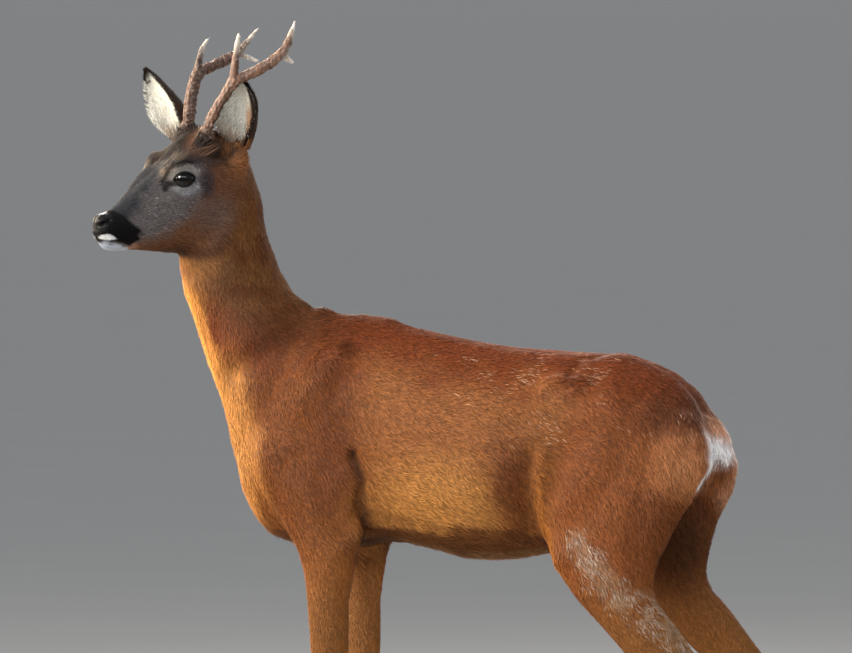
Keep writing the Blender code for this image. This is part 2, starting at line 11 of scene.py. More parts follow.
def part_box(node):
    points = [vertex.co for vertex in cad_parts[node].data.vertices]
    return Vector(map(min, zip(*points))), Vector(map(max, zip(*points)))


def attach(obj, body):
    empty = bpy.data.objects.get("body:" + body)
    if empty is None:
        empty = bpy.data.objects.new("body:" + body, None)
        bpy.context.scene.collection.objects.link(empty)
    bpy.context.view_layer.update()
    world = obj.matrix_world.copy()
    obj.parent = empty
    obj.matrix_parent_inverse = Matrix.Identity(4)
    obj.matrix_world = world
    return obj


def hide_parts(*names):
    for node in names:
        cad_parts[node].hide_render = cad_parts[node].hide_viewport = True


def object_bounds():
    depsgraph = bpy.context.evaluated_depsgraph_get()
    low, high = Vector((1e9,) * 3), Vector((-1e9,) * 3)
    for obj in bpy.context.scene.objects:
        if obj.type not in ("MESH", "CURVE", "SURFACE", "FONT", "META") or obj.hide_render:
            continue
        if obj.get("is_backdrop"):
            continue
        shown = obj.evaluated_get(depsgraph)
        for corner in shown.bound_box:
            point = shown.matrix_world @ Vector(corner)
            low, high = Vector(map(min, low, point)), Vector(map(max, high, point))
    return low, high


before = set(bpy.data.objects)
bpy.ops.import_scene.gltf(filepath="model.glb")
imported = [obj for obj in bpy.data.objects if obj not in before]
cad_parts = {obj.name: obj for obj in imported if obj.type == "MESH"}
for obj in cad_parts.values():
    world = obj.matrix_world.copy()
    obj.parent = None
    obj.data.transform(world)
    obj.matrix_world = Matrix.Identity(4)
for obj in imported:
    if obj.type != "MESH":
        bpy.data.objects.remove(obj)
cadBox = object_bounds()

print("roe deer: frame loaded")

# Places on the body are (along, out, up): x from a point on the floor behind the fore feet,
# the distance from the middle plane, and the height. The animal faces -x, its left is -y.
sideSign = {"left": -1.0, "right": 1.0}


def middleOf(*nodes):
    corners = np.array([tuple(corner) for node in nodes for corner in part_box(node)])
    return 0.5 * (corners.min(axis=0) + corners.max(axis=0))


foreFeet = middleOf(*(f"claw_fore_{side}_{half}" for side in sideSign for half in ("inner", "outer")))
standing = np.array((foreFeet[0] + 0.1212, foreFeet[1], 0.0))

# The head has its own axes: forward, to the animal's left, up, with the eyes near height 0
eyeRadius = 0.0138
eyePlace = np.array((0.064, 0.0335, 0.003))
eyeLeft, eyeRight = middleOf("eye_left"), middleOf("eye_right")
headLeft = Vector(eyeLeft - eyeRight).normalized()
headForward = headLeft.cross(Vector((0.0, 0.0, 1.0))).normalized()
headUp = headForward.cross(headLeft)
headAxes = np.array([tuple(headForward), tuple(headLeft), tuple(headUp)])
headPlace = 0.5 * (eyeLeft + eyeRight) - np.array((eyePlace[0], 0.0, eyePlace[2])) @ headAxes


def toBody(points):
    return points - standing


def toHead(points):
    return (points - headPlace) @ headAxes.T


def fromHead(points):
    return headPlace + np.asarray(points) @ headAxes


def unit(rows):
    return rows / np.maximum(np.linalg.norm(rows, axis=-1, keepdims=True), 1e-12)


def smoothStep(values, low, high):
    t = np.clip((values - low) / (high - low), 0.0, 1.0)
    return t * t * (3.0 - 2.0 * t)


def fade(values, low, high):
    # 1 up to low, 0 from high on
    return 1.0 - smoothStep(values, low, high)


def paint(red, green, blue):
    # screen values, 0 to 255, to linear light
    values = np.array((red, green, blue)) / 255.0
    return np.where(values <= 0.04045, values / 12.92, ((values + 0.055) / 1.055) ** 2.4)


lattice = np.random.default_rng(7).random(65536)


def fuzz(points, size, seed):
    # smooth noise from 0 to 1, with lumps about that size
    place = points / size + 300.0
    cell = np.floor(place).astype(np.int64)
    part = place - cell
    part = part * part * (3.0 - 2.0 * part)
    total = np.zeros(len(points))
    for corner in product((0, 1), repeat=3):
        x, y, z = (cell + corner).T
        key = (x * 73856093 ^ y * 19349663 ^ z * 83492791 ^ seed * 26544357) & 65535
        total += lattice[key] * np.prod(np.where(corner, part, 1.0 - part), axis=1)
    return total


def ballMask(places, centre, radii, edge):
    # 1 inside an ellipsoid, fading out across its edge
    away = np.linalg.norm((places - centre) / radii, axis=1)
    return fade(away, 1.0 - edge, 1.0 + edge)


def lineGap(places, line):
    # distance to a line through points
    line = np.asarray(line, float)
    best = np.full(len(places), 1e9)
    for start, end in zip(line[:-1], line[1:]):
        along = end - start
        t = np.clip((places - start) @ along / (along @ along), 0.0, 1.0)
        best = np.minimum(best, np.linalg.norm(places - (start + t[:, None] * along), axis=1))
    return best


def outlineMask(flat, outline, soft):
    # 1 inside a closed outline in two numbers, fading over soft to each side of it
    outline = np.asarray(outline, float)
    inside = np.zeros(len(flat), bool)
    for start, end in zip(outline, np.roll(outline, -1, axis=0)):
        along = end - start
        crosses = (start[1] > flat[:, 1]) != (end[1] > flat[:, 1])
        rise = along[1] or 1e-12
        inside ^= crosses & (flat[:, 0] < start[0] + along[0] * (flat[:, 1] - start[1]) / rise)
    gap = lineGap(flat, (*outline, outline[0]))
    return smoothStep(np.where(inside, gap, -gap), -soft, soft)


# What the pieces below do with their meshes
def readPoints(mesh):
    values = np.empty(len(mesh.vertices) * 3)
    mesh.vertices.foreach_get("co", values)
    return values.reshape(-1, 3)


def writePoints(mesh, points):
    mesh.vertices.foreach_set("co", points.astype(np.float32).ravel())
    mesh.update()


def readNormals(mesh):
    values = np.empty(len(mesh.vertices) * 3, np.float32)
    mesh.vertex_normals.foreach_get("vector", values)
    return values.reshape(-1, 3).astype(float)


def readEdges(mesh):
    values = np.empty(len(mesh.edges) * 2, np.int32)
    mesh.edges.foreach_get("vertices", values)
    return values.reshape(-1, 2)


def relaxed(points, edges, rounds, strength=1.0, keep=0.52):
    # rounds of smoothing, each followed by one that gives the volume back (keep 0: none)
    first, second = edges.T
    size = len(points)
    links = np.maximum(np.bincount(first, minlength=size) + np.bincount(second, minlength=size), 1)
    strength = np.broadcast_to(strength, size)[:, None]
    for _ in range(rounds):
        for factor in ((0.5, -keep) if keep else (0.5,)):
            mean = np.stack([
                np.bincount(first, points[second, i], size) + np.bincount(second, points[first, i], size)
                for i in range(3)], axis=1) / links[:, None]
            points = points + factor * strength * (mean - points)
    return points


def smoothed(mesh, rounds, strength=1.0, keep=0.52):
    writePoints(mesh, relaxed(readPoints(mesh), readEdges(mesh), rounds, strength, keep))


def alongSurface(ways, normals):
    # directions laid flat on the surface
    return unit(ways - normals * np.sum(ways * normals, axis=1, keepdims=True))


def acrossAxis(way, axis):
    # a direction turned square to an axis
    return unit(way - (way @ axis) * axis)


def newObject(name, mesh):
    made = bpy.data.objects.new(name, mesh)
    bpy.context.scene.collection.objects.link(made)
    return made


def fromArrays(name, points, faces):
    # faces all have the same number of corners
    mesh = bpy.data.meshes.new(name)
    count, corners = faces.shape
    mesh.vertices.add(len(points))
    mesh.vertices.foreach_set("co", points.astype(np.float32).ravel())
    mesh.loops.add(count * corners)
    mesh.loops.foreach_set("vertex_index", faces.astype(np.int32).ravel())
    mesh.polygons.add(count)
    mesh.polygons.foreach_set("loop_start", np.arange(0, count * corners, corners, dtype=np.int32))
    mesh.update(calc_edges=True)
    mesh.shade_smooth()
    return mesh


def applied(piece):
    # the modifiers' result becomes the mesh
    graph = bpy.context.evaluated_depsgraph_get()
    graph.update()
    mesh = bpy.data.meshes.new_from_object(piece.evaluated_get(graph))
    piece.modifiers.clear()
    piece.data = mesh
    return piece


def joinedNodes(name, nodes, swell):
    # copies of CAD nodes in one mesh, each grown a little so that neighbours meet
    whole = bmesh.new()
    for node in nodes:
        part = bmesh.new()
        part.from_mesh(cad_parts[node].data)
        bmesh.ops.remove_doubles(part, verts=part.verts, dist=0.00002)
        part.normal_update()
        for vert in part.verts:
            vert.co += vert.normal * swell
        mesh = bpy.data.meshes.new("part")
        part.to_mesh(mesh)
        part.free()
        whole.from_mesh(mesh)
        bpy.data.meshes.remove(mesh)
    mesh = bpy.data.meshes.new(name)
    whole.to_mesh(mesh)
    whole.free()
    return newObject(name, mesh)


def remeshed(piece, voxel):
    melt = piece.modifiers.new("melt", "REMESH")
    melt.mode = "VOXEL"
    melt.voxel_size = voxel
    return applied(piece)


def refined(mesh, chosen):
    # cuts each edge between two chosen points in half, and the faces with it
    bm = bmesh.new()
    bm.from_mesh(mesh)
    bm.verts.ensure_lookup_table()
    edges = [edge for edge in bm.edges if all(chosen[vert.index] for vert in edge.verts)]
    bmesh.ops.subdivide_edges(bm, edges=edges, cuts=1, use_grid_fill=True)
    bm.to_mesh(mesh)
    bm.free()
    mesh.update()


def storeColour(mesh, name, colours):
    layer = mesh.attributes.new(name, "FLOAT_COLOR", "POINT")
    rgba = np.ones((len(colours), 4), np.float32)
    rgba[:, :3] = colours
    layer.data.foreach_set("color", rgba.ravel())


def storeValue(mesh, name, values):
    layer = mesh.attributes.new(name, "FLOAT", "POINT")
    layer.data.foreach_set("value", np.asarray(values, np.float32))


# Finishes: a socket that takes part in sums, and the material that it belongs to
class Wire:
    def __init__(self, finish, socket):
        self.finish, self.socket = finish, socket

    def math(self, operation, *values):
        return self.finish.add("ShaderNodeMath", {"operation": operation}, dict(enumerate(values)))

    def __add__(self, other):
        return self.math("ADD", self, other)

    def __rsub__(self, other):
        return self.math("SUBTRACT", other, self)

    def __mul__(self, other):
        return self.math("MULTIPLY", self, other)

    __radd__, __rmul__ = __add__, __mul__

    def step(self, low, high):
        return self.finish.add("ShaderNodeMapRange", {"interpolation_type": "SMOOTHSTEP"},
                               {"Value": self, "From Min": low, "From Max": high})


class Finish:
    def __init__(self, name, constants):
        self.material = bpy.data.materials.new(name)
        self.material.use_nodes = True
        self.tree = self.material.node_tree
        self.shader = self.tree.nodes["Principled BSDF"]
        for socket, value in constants.items():
            self.shader.inputs[socket].default_value = value

    def add(self, kind, settings, sockets, out=0):
        node = self.tree.nodes.new(kind)
        for key, value in settings.items():
            setattr(node, key, value)
        for key, value in sockets.items():
            if isinstance(value, Wire):
                self.tree.links.new(value.socket, node.inputs[key])
            else:
                node.inputs[key].default_value = value
        return Wire(self, node.outputs[out])

    def attribute(self, name, out="Fac"):
        return self.add("ShaderNodeAttribute", {"attribute_name": name}, {}, out)

    def place(self):
        return self.add("ShaderNodeTexCoord", {}, {}, "Object")

    def noise(self, scale, detail, where=None):
        return self.add("ShaderNodeTexNoise", {},
                        {"Vector": where or self.place(), "Scale": scale, "Detail": detail})

    def stretched(self, scale):
        return self.add("ShaderNodeMapping", {}, {"Vector": self.place(), "Scale": scale})

    def mix(self, factor, first, second, kind="MIX"):
        # colours, in the Mix node's colour sockets
        return self.add("ShaderNodeMix", {"data_type": "RGBA", "blend_type": kind},
                        {0: factor, 6: first, 7: second}, 2)

    def shade(self, colour, factor):
        # a colour made lighter or darker by a number
        grey = self.add("ShaderNodeCombineColor", {}, {0: factor, 1: factor, 2: factor})
        return self.mix(1.0, colour, grey, "MULTIPLY")

    def bump(self, height, distance, strength):
        return self.add("ShaderNodeBump", {}, {"Height": height, "Distance": distance, "Strength": strength})

    def feed(self, wires):
        for socket, wire in wires.items():
            self.tree.links.new(wire.socket, self.shader.inputs[socket])


def opaque(colour):
    return (*[float(value) for value in colour], 1.0)


def place(piece, finish, slot, *nodes):
    # every piece rides the one body; where it stands in for CAD nodes, they are named
    piece.data.materials.clear()
    piece.data.materials.append(finish.material)
    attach(piece, "root")
    if nodes:
        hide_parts(*nodes)


# Ears: their shape is shared by the skin and by their hair
earShape = {
    "width": {"left": 0.056, "right": 0.051},
    "baseWall": 0.0032,     # thickness at the root and at the rim
    "rimWall": 0.0012,
    "curl": (118.0, 62.0),  # degrees that each side turns round at the root, and how much less at the tip
    "bend": -0.01,
    "wave": 0.0012,
    "rootReach": (0.02, 0.03),
    "rows": 46,
    "columns": 38,
    "bulb": (0.013, 0.01, 0.012),     # half-sizes: across, through and along the ear
    "bulbAlong": -0.004,
    "taper": {"left": 0.5, "right": 0.22},
    "lean": {"left": (0.0, 0.0), "right": (-0.006, 0.008)},     # low down and high up
    # root and tip (forward, outward, up) in the head's axes, and the way the opening faces
    "left": ((-0.0062, 0.0331, 0.0381), (-0.009, 0.033, 0.1241), (0.85, 0.48, -0.1)),
    "right": ((0.02, 0.042, 0.038), (0.039, 0.125, 0.119), (0.95, -0.2, -0.2)),
}


def earPoint(along, across, side, wall=0.0):
    # along runs 0 to 1 from the root, across -1 to 1 over the cup; wall is how far behind its middle
    root, tip, opening = (np.array(row) for row in earShape[side])
    length = np.linalg.norm(tip - root)
    axis = (tip - root) / length
    opening = acrossAxis(opening, axis)
    sideways = np.cross(axis, opening)
    along, across = along[:, None], across[:, None]
    swell = np.sin(pi * (0.08 + 0.86 * along ** 1.05)) ** 0.8
    radius = 0.5 * earShape["width"][side] * (0.12 + 0.88 * swell)
    radius = radius * (1.0 - earShape["taper"][side] * along ** 6) * (1.0 - 0.93 * along ** 14)
    widest, less = earShape["curl"]
    curl = np.radians(widest - less * along ** 0.7)
    angle = across * curl
    bend = earShape["bend"] * np.sin(pi * along)
    wave = earShape["wave"] * np.sin(9.0 * along + 2.0 * across) * across ** 2
    wall = np.reshape(wall, (-1, 1)) + wave
    low, high = earShape["lean"][side]
    lean = np.sin(pi * along) * (low * (1.0 - along) + high * along)
    point = (root + axis * (length * along) + sideways * lean + sideways * ((radius + wall) * np.sin(angle))
             - opening * ((radius + wall) * np.cos(angle) - radius * np.cos(curl) * 0.4 + bend))
    if side == "right":
        point = point * (1.0, -1.0, 1.0)
    return fromHead(point)


def earWall(along, across):
    rim = np.maximum(np.abs(across) ** 3, along ** 8)
    base, thin = earShape["baseWall"], earShape["rimWall"]
    return (base + (thin - base) * along ** 0.7) * (1.0 - 0.55 * rim)


def earMesh(side):
    rows, columns = earShape["rows"], earShape["columns"]
    along, across = np.meshgrid(np.linspace(0.0, 1.0, rows), np.linspace(-1.0, 1.0, columns), indexing="ij")
    along, across = along.ravel(), across.ravel()
    half = 0.5 * earWall(along, across)
    points = np.concatenate((earPoint(along, across, side, half), earPoint(along, across, side, -half)))
    size = rows * columns
    grid = np.arange(size).reshape(rows, columns)
    quads = np.stack((grid[:-1, :-1], grid[:-1, 1:], grid[1:, 1:], grid[1:, :-1]), axis=-1).reshape(-1, 4)
    border = np.concatenate((grid[0, :-1], grid[:-1, -1], grid[-1, :0:-1], grid[:0:-1, 0]))
    after = np.roll(border, -1)
    rim = np.stack((border, border + size, after + size, after), axis=-1)
    faces = np.concatenate((quads, quads[:, ::-1] + size, rim))
    mesh = fromArrays(f"earShell_{side}", points, faces)
    bm = bmesh.new()
    bm.from_mesh(mesh)
    bmesh.ops.recalc_face_normals(bm, faces=bm.faces)
    bm.to_mesh(mesh)
    bm.free()
    return mesh


# Skin: one over all the flesh
skinMaking = {
    "overlap": 0.0005,      # each length of flesh grown by this, so that they melt together
    "voxel": 0.0036,
    "smoothing": 26,
    "headReach": (-0.075, 0.19, 0.085, -0.13, 0.1),    # forward from and to, outward, up from and to
    "fineLeg": 0.25,        # finer mesh on the head and below this height
    "fineEye": 0.028,       # and the finest within this of an eye
    "fineMuzzle": 0.098,    # and further forward than this
    "fineSmoothing": (3, 5),    # rounds after each refining, and after the last
}
fleshNodes = [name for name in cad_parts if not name.startswith(("antler", "ear", "claw", "dewclaw"))]
skin = remeshed(joinedNodes("skin", fleshNodes, skinMaking["overlap"]), skinMaking["voxel"])
mesh = skin.data
smoothed(mesh, skinMaking["smoothing"])


def foldedSides(places):
    # both sides laid on one, by the size of the second number
    places = places.copy()
    places[:, 1] = abs(places[:, 1])
    return places


def inHeadReach(points):
    forward, out, up = toHead(points).T
    back, front, wide, low, high = skinMaking["headReach"]
    return (forward > back) & (forward < front) & (abs(out) < wide) & (up > low) & (up < high)


def eyeGap(points):
    return np.linalg.norm(foldedSides(toHead(points)) - eyePlace, axis=1)


def softRefine(chosen):
    refined(mesh, chosen)
    fresh = np.ones(len(mesh.vertices))
    fresh[:len(chosen)] = chosen
    smoothed(mesh, skinMaking["fineSmoothing"][0], fresh, keep=0.5)


points = readPoints(mesh)
softRefine(inHeadReach(points) | (points[:, 2] < skinMaking["fineLeg"]))
points = readPoints(mesh)
muzzle = (toHead(points)[:, 0] > skinMaking["fineMuzzle"]) & inHeadReach(points)
softRefine((eyeGap(points) < skinMaking["fineEye"]) | muzzle)
smoothed(mesh, skinMaking["fineSmoothing"][1])
print("skin: melted and refined,", len(mesh.polygons), "faces")

# how deep the hair lies on the skin
hairDepth = {"leg": 0.0016, "body": 0.0032, "head": 0.0013, "muzzle": 0.0005}


def coatDepth(points):
    body, head = toBody(points), toHead(points)
    depth = hairDepth["leg"] + (hairDepth["body"] - hairDepth["leg"]) * smoothStep(body[:, 2], 0.26, 0.46)
    share = smoothStep(head[:, 0], -0.045, 0.02) * smoothStep(body[:, 2], 0.7, 0.8)
    depth += (hairDepth["head"] - depth) * share
    depth += (hairDepth["muzzle"] - depth) * share * smoothStep(head[:, 0], 0.1, 0.15)
    return depth


points = readPoints(mesh)
writePoints(mesh, points - readNormals(mesh) * (coatDepth(points) + skinMaking["overlap"])[:, None])

# modelling strokes: a line of places, how far each presses in (or, negative, raises), its breadth
bodyStrokes = (
    ("neckBase", ((-0.14, 0.045, 0.7), (-0.185, 0.058, 0.668), (-0.228, 0.05, 0.64)), 0.005, 0.017),
    ("withersFill", ((-0.15, 0.0, 0.72), (-0.134, 0.0, 0.712)), -0.0092, 0.018),
    ("withersTop", ((-0.122, 0.0, 0.708), (-0.095, 0.0, 0.704), (-0.055, 0.0, 0.698)), -0.0052, 0.024),
    ("backTop", ((-0.04, 0.0, 0.69), (0.1, 0.0, 0.668), (0.23, 0.008, 0.668)), -0.0035, 0.03),
    ("croupTop", ((0.262, 0.014, 0.656), (0.29, 0.016, 0.64)), -0.0046, 0.028),
    ("tailDent", ((0.332, 0.026, 0.61), (0.346, 0.028, 0.594)), -0.0042, 0.014),
    ("rumpTop", ((0.325, 0.024, 0.614), (0.344, 0.026, 0.594), (0.36, 0.028, 0.57), (0.368, 0.03, 0.548)),
     -0.011, 0.034),
    ("buttock", ((0.358, 0.03, 0.505), (0.346, 0.032, 0.472)), 0.009, 0.03),
    ("throatFront", ((-0.298, 0.0, 0.8), (-0.304, 0.0, 0.77), (-0.292, 0.0, 0.735)), -0.0045, 0.018),
    ("nape", ((-0.216, 0.0, 0.905), (-0.206, 0.0, 0.87), (-0.198, 0.0, 0.845)), -0.004, 0.02),
    ("girth", ((-0.045, 0.0, 0.432), (0.015, 0.0, 0.428)), 0.004, 0.024),
    ("shoulderRear", ((-0.088, 0.08, 0.625), (-0.078, 0.086, 0.6), (-0.068, 0.09, 0.545)), 0.003, 0.02),
    ("shoulderRidge", ((-0.118, 0.055, 0.69), (-0.14, 0.072, 0.62), (-0.165, 0.072, 0.56)), -0.0016, 0.022),
    ("elbowCrease", ((-0.0686, 0.0753, 0.5434), (-0.0575, 0.0735, 0.513), (-0.0625, 0.0705, 0.493),
                     (-0.0597, 0.0628, 0.4734), (-0.06, 0.048, 0.452)), 0.006, 0.007),
    ("tricepsLine", ((-0.135, 0.08, 0.545), (-0.105, 0.082, 0.5), (-0.085, 0.08, 0.455)), 0.0022, 0.012),
    ("flankFold", ((0.156, 0.086, 0.545), (0.152, 0.085, 0.52), (0.15, 0.078, 0.485),
                   (0.153, 0.07, 0.455)), 0.004, 0.011),
    ("thighEdge", ((0.17, 0.084, 0.55), (0.1669, 0.084, 0.523), (0.164, 0.077, 0.49),
                   (0.168, 0.069, 0.46)), -0.002, 0.01),
    ("hipCrease", ((0.225, 0.008, 0.662), (0.1985, 0.0319, 0.655), (0.1929, 0.0485, 0.6454),
                   (0.1935, 0.065, 0.637)), 0.0014, 0.007),
    ("hamstring", ((0.3, 0.07, 0.56), (0.29, 0.078, 0.49), (0.285, 0.08, 0.43)), 0.0026, 0.014),
    ("heelHollow", ((0.335, 0.077, 0.345), (0.352, 0.077, 0.305), (0.362, 0.076, 0.282)), 0.0042, 0.0075),
    ("shankBone", ((0.262, 0.082, 0.37), (0.292, 0.08, 0.33), (0.32, 0.077, 0.29)), -0.0016, 0.009),
    ("hindTendon", ((0.348, 0.078, 0.215), (0.33, 0.076, 0.15), (0.32, 0.077, 0.112)), 0.0018, 0.0042),
    ("foreTendon", ((-0.093, 0.072, 0.19), (-0.091, 0.071, 0.14), (-0.09, 0.072, 0.108)), 0.0016, 0.004),
    ("kneeFront", ((-0.117, 0.06, 0.245), (-0.119, 0.06, 0.215)), -0.0022, 0.01),
    ("breastbone", ((-0.232, 0.0, 0.56), (-0.215, 0.0, 0.49), (-0.19, 0.0, 0.45)), -0.0035, 0.014),
    ("windpipe", ((-0.272, 0.012, 0.76), (-0.262, 0.015, 0.7), (-0.25, 0.016, 0.65)), 0.0012, 0.012),
)
headStrokes = (
    ("nostril", ((0.166, 0.0065, -0.0545), (0.161, 0.0118, -0.052), (0.156, 0.015, -0.0478),
                 (0.1515, 0.0158, -0.0465)), 0.005, 0.0021),
    ("nostrilWing", ((0.166, 0.008, -0.047), (0.16, 0.0135, -0.044), (0.153, 0.0165, -0.042)),
     -0.0014, 0.0034),
    ("noseBulb", ((0.159, 0.004, -0.041), (0.165, 0.004, -0.049)), -0.0018, 0.006),
    ("philtrum", ((0.168, 0.0, -0.056), (0.164, 0.0, -0.0705)), 0.0011, 0.0012),
    ("mouth", ((0.164, 0.0, -0.0712), (0.1595, 0.0075, -0.0716), (0.153, 0.0125, -0.0722),
               (0.1448, 0.016, -0.0735), (0.135, 0.019, -0.0755), (0.1215, 0.021, -0.0782)), 0.0032, 0.0015),
    ("lipRoll", ((0.16, 0.008, -0.0672), (0.15, 0.0145, -0.068), (0.14, 0.0178, -0.07)),
     -0.001, 0.0036),
    ("chinStep", ((0.164, 0.0, -0.0765), (0.155, 0.01, -0.0768), (0.142, 0.016, -0.0785)), 0.0014, 0.0035),
    ("mouthCorner", ((0.1235, 0.021, -0.0784), (0.1185, 0.0225, -0.079)), 0.001, 0.003),
    ("tearLine", ((0.08, 0.044, -0.002), (0.086, 0.04, -0.006), (0.092, 0.036, -0.013)),
     0.0024, 0.003),
    ("cheekBone", ((0.098, 0.033, -0.016), (0.08, 0.043, -0.017), (0.056, 0.048, -0.019)),
     -0.0014, 0.006),
    ("underCheek", ((0.112, 0.027, -0.033), (0.086, 0.04, -0.033), (0.062, 0.046, -0.034)),
     0.0014, 0.009),
    ("jawEdge", ((0.1, 0.022, -0.085), (0.07, 0.03, -0.086), (0.04, 0.036, -0.082),
                 (0.02, 0.04, -0.07)), -0.0018, 0.008),
    ("throatLatch", ((0.015, 0.04, -0.095), (-0.005, 0.045, -0.075), (-0.015, 0.046, -0.05)),
     0.0022, 0.014),
    ("browFoldLow", ((0.093, 0.036, 0.008), (0.082, 0.034, 0.0195), (0.065, 0.0365, 0.025),
                     (0.048, 0.043, 0.0205)), 0.0011, 0.0016),
    ("browFoldHigh", ((0.099, 0.03, 0.016), (0.086, 0.028, 0.03), (0.067, 0.029, 0.037)),
     0.0008, 0.0018),
    ("templeHollow", ((0.05, 0.042, 0.032), (0.034, 0.046, 0.02)), 0.0024, 0.009),
    ("browToHorn", ((0.056, 0.025, 0.033), (0.045, 0.027, 0.044)), -0.0012, 0.011),
    ("crown", ((0.06, 0.0, 0.044), (0.046, 0.0, 0.052), (0.035, 0.0, 0.056)), -0.004, 0.011),
    ("noseRoot", ((0.08, 0.018, 0.008), (0.09, 0.015, -0.001), (0.105, 0.013, -0.014)), -0.0036, 0.01),
    ("bridgeEdge", ((0.094, 0.022, 0.012), (0.11, 0.017, -0.004), (0.133, 0.012, -0.023)), -0.0018, 0.015),
    ("browFront", ((0.096, 0.023, 0.002), (0.087, 0.026, 0.011)), -0.0034, 0.0095),
    ("foreheadDip", ((0.093, 0.0, 0.026), (0.076, 0.0, 0.048)), 0.0016, 0.008),
    ("noseSide", ((0.133, 0.018, -0.03), (0.112, 0.022, -0.018)), 0.0012, 0.006),
)


def strokeLine(strokes, name):
    return next(line for label, line, *_ in strokes if label == name)


def pressed(points, normals, places, strokes):
    # places are points with their second number made positive, so that both sides get each stroke
    shift = np.zeros(len(points))
    for _, line, depth, breadth in strokes:
        line = np.asarray(line)
        low, high = line.min(axis=0) - 3 * breadth, line.max(axis=0) + 3 * breadth
        near = np.flatnonzero(np.all((places > low) & (places < high), axis=1))
        shift[near] += depth * np.exp(-(lineGap(places[near], line) / breadth) ** 2)
    return points - normals * shift[:, None]


# forms that melt softly into their neighbours: in the head's or the body's axes, a line through each,
# its reach and the rounds of smoothing
eased = (
    (toHead, ((0.076, 0.033, 0.024), (0.062, 0.031, 0.034)), 0.02, 44),
    (toBody, ((-0.195, 0.061, 0.58), (-0.182, 0.07, 0.524), (-0.168, 0.064, 0.482), (-0.163, 0.03, 0.445)),
     0.026, 40),
    (toBody, ((0.345, 0.005, 0.585), (0.356, 0.01, 0.545), (0.34, 0.02, 0.52)), 0.032, 40),
    (toBody, ((0.186, 0.085, 0.58), (0.184, 0.084, 0.52), (0.178, 0.075, 0.46)), 0.026, 30),
    (toBody, ((-0.165, 0.01, 0.725), (-0.12, 0.01, 0.708)), 0.04, 50),
    (toBody, ((0.225, 0.02, 0.665), (0.245, 0.02, 0.66)), 0.034, 40),
)
for axes, line, reach, rounds in eased:
    gap = lineGap(foldedSides(axes(readPoints(mesh))), line)
    smoothed(mesh, rounds, fade(gap, 0.4 * reach, reach), keep=0)
points, normals = readPoints(mesh), readNormals(mesh)
points = pressed(points, normals, foldedSides(toBody(points)), bodyStrokes)
points = pressed(points, normals, foldedSides(toHead(points)), headStrokes)

# Eyelids
lidShape = {
    "axis": (0.46, 0.87, 0.1),       # the way an eye looks
    "front": (0.86, -0.46, -0.15),   # towards its tear duct
    "halfWidth": 0.88,               # of the opening, as a share of the eye's radius
    "shift": -0.05,
    "above": 0.54,
    "below": 0.62,
    "thick": 0.0013,
    "seat": 0.0026,                  # how far the socket lies under the ball
    "ring": (0.0008, 0.024),         # smoothed from this far outside the opening to this far from the eye
    "edgeRise": 0.0012,              # how far the opening's edge stands over the ball
    "edgeReach": 0.034,              # how far from the eye's middle the edge counts
}
eyeAxis = np.array(lidShape["axis"]) / np.linalg.norm(lidShape["axis"])
eyeFront = acrossAxis(np.array(lidShape["front"]), eyeAxis)
eyeUp = np.cross(eyeAxis, eyeFront)
eyeUp *= np.sign(eyeUp[2])


def lidHeight(x, upper):
    # half-height of the opening at x, both in shares of the eye's radius
    height = np.where(upper, lidShape["above"], lidShape["below"])
    return height * np.clip(1.0 - ((x - lidShape["shift"]) / lidShape["halfWidth"]) ** 2, 0.0, 1.0) ** 0.72


def lidEdge(turn):
    # the opening's edge at angles round it, in shares of the eye's radius
    x = lidShape["shift"] + lidShape["halfWidth"] * np.cos(turn)
    return x, np.where(np.sin(turn) >= 0, lidHeight(x, True), -lidHeight(x, False))


def onEyeball(x, y, reach):
    # a place over the eye, from shares of its radius towards the tear duct and up
    depth = np.sqrt(np.maximum(1.0 - x ** 2 - y ** 2, 0.0))
    toward = eyeFront * x[:, None] + eyeUp * y[:, None] + eyeAxis * depth[:, None]
    return eyePlace + toward * reach


def edgeGap(folded):
    # distance to the edge of the eye's opening, for places with both sides folded
    gap = np.full(len(folded), 1.0)
    near = np.flatnonzero(np.linalg.norm(folded - eyePlace, axis=1) < lidShape["edgeReach"])
    edge = onEyeball(*lidEdge(np.linspace(0.0, 2.0 * pi, 41)), eyeRadius + lidShape["edgeRise"])
    gap[near] = lineGap(folded[near], edge)
    return gap


def withLids(points):
    places = toHead(points)
    side = np.sign(places[:, 1])
    away = foldedSides(places) - eyePlace
    reach = np.linalg.norm(away, axis=1)
    toward = away / np.maximum(reach, 1e-9)[:, None]
    # how far outside the eye's opening each place is, less than 0 within it
    x, y = toward @ eyeFront, toward @ eyeUp
    gap = np.maximum(np.abs(y) - lidHeight(x, y > 0), np.abs(x - lidShape["shift"]) - lidShape["halfWidth"])
    gap = np.where(toward @ eyeAxis > 0.05, gap, 1.0) * eyeRadius
    lid = np.maximum(reach, eyeRadius + lidShape["thick"] * fade(gap, 0.004, 0.01))
    target = np.where(gap > 0.0, lid, eyeRadius - lidShape["seat"])
    near = reach < eyeRadius + 0.012
    target = np.where(near & (toward @ eyeAxis > 0.05), target, reach)
    folded = eyePlace + toward * target[:, None]
    folded[:, 1] *= side
    return fromHead(folded), gap


points, gap = withLids(points)
ring = (gap > lidShape["ring"][0]) & (eyeGap(points) < lidShape["ring"][1])
points = relaxed(points, readEdges(mesh), 3, ring.astype(float), keep=0)
points, gap = withLids(points)
writePoints(mesh, points)
print("skin: head and body modelled")


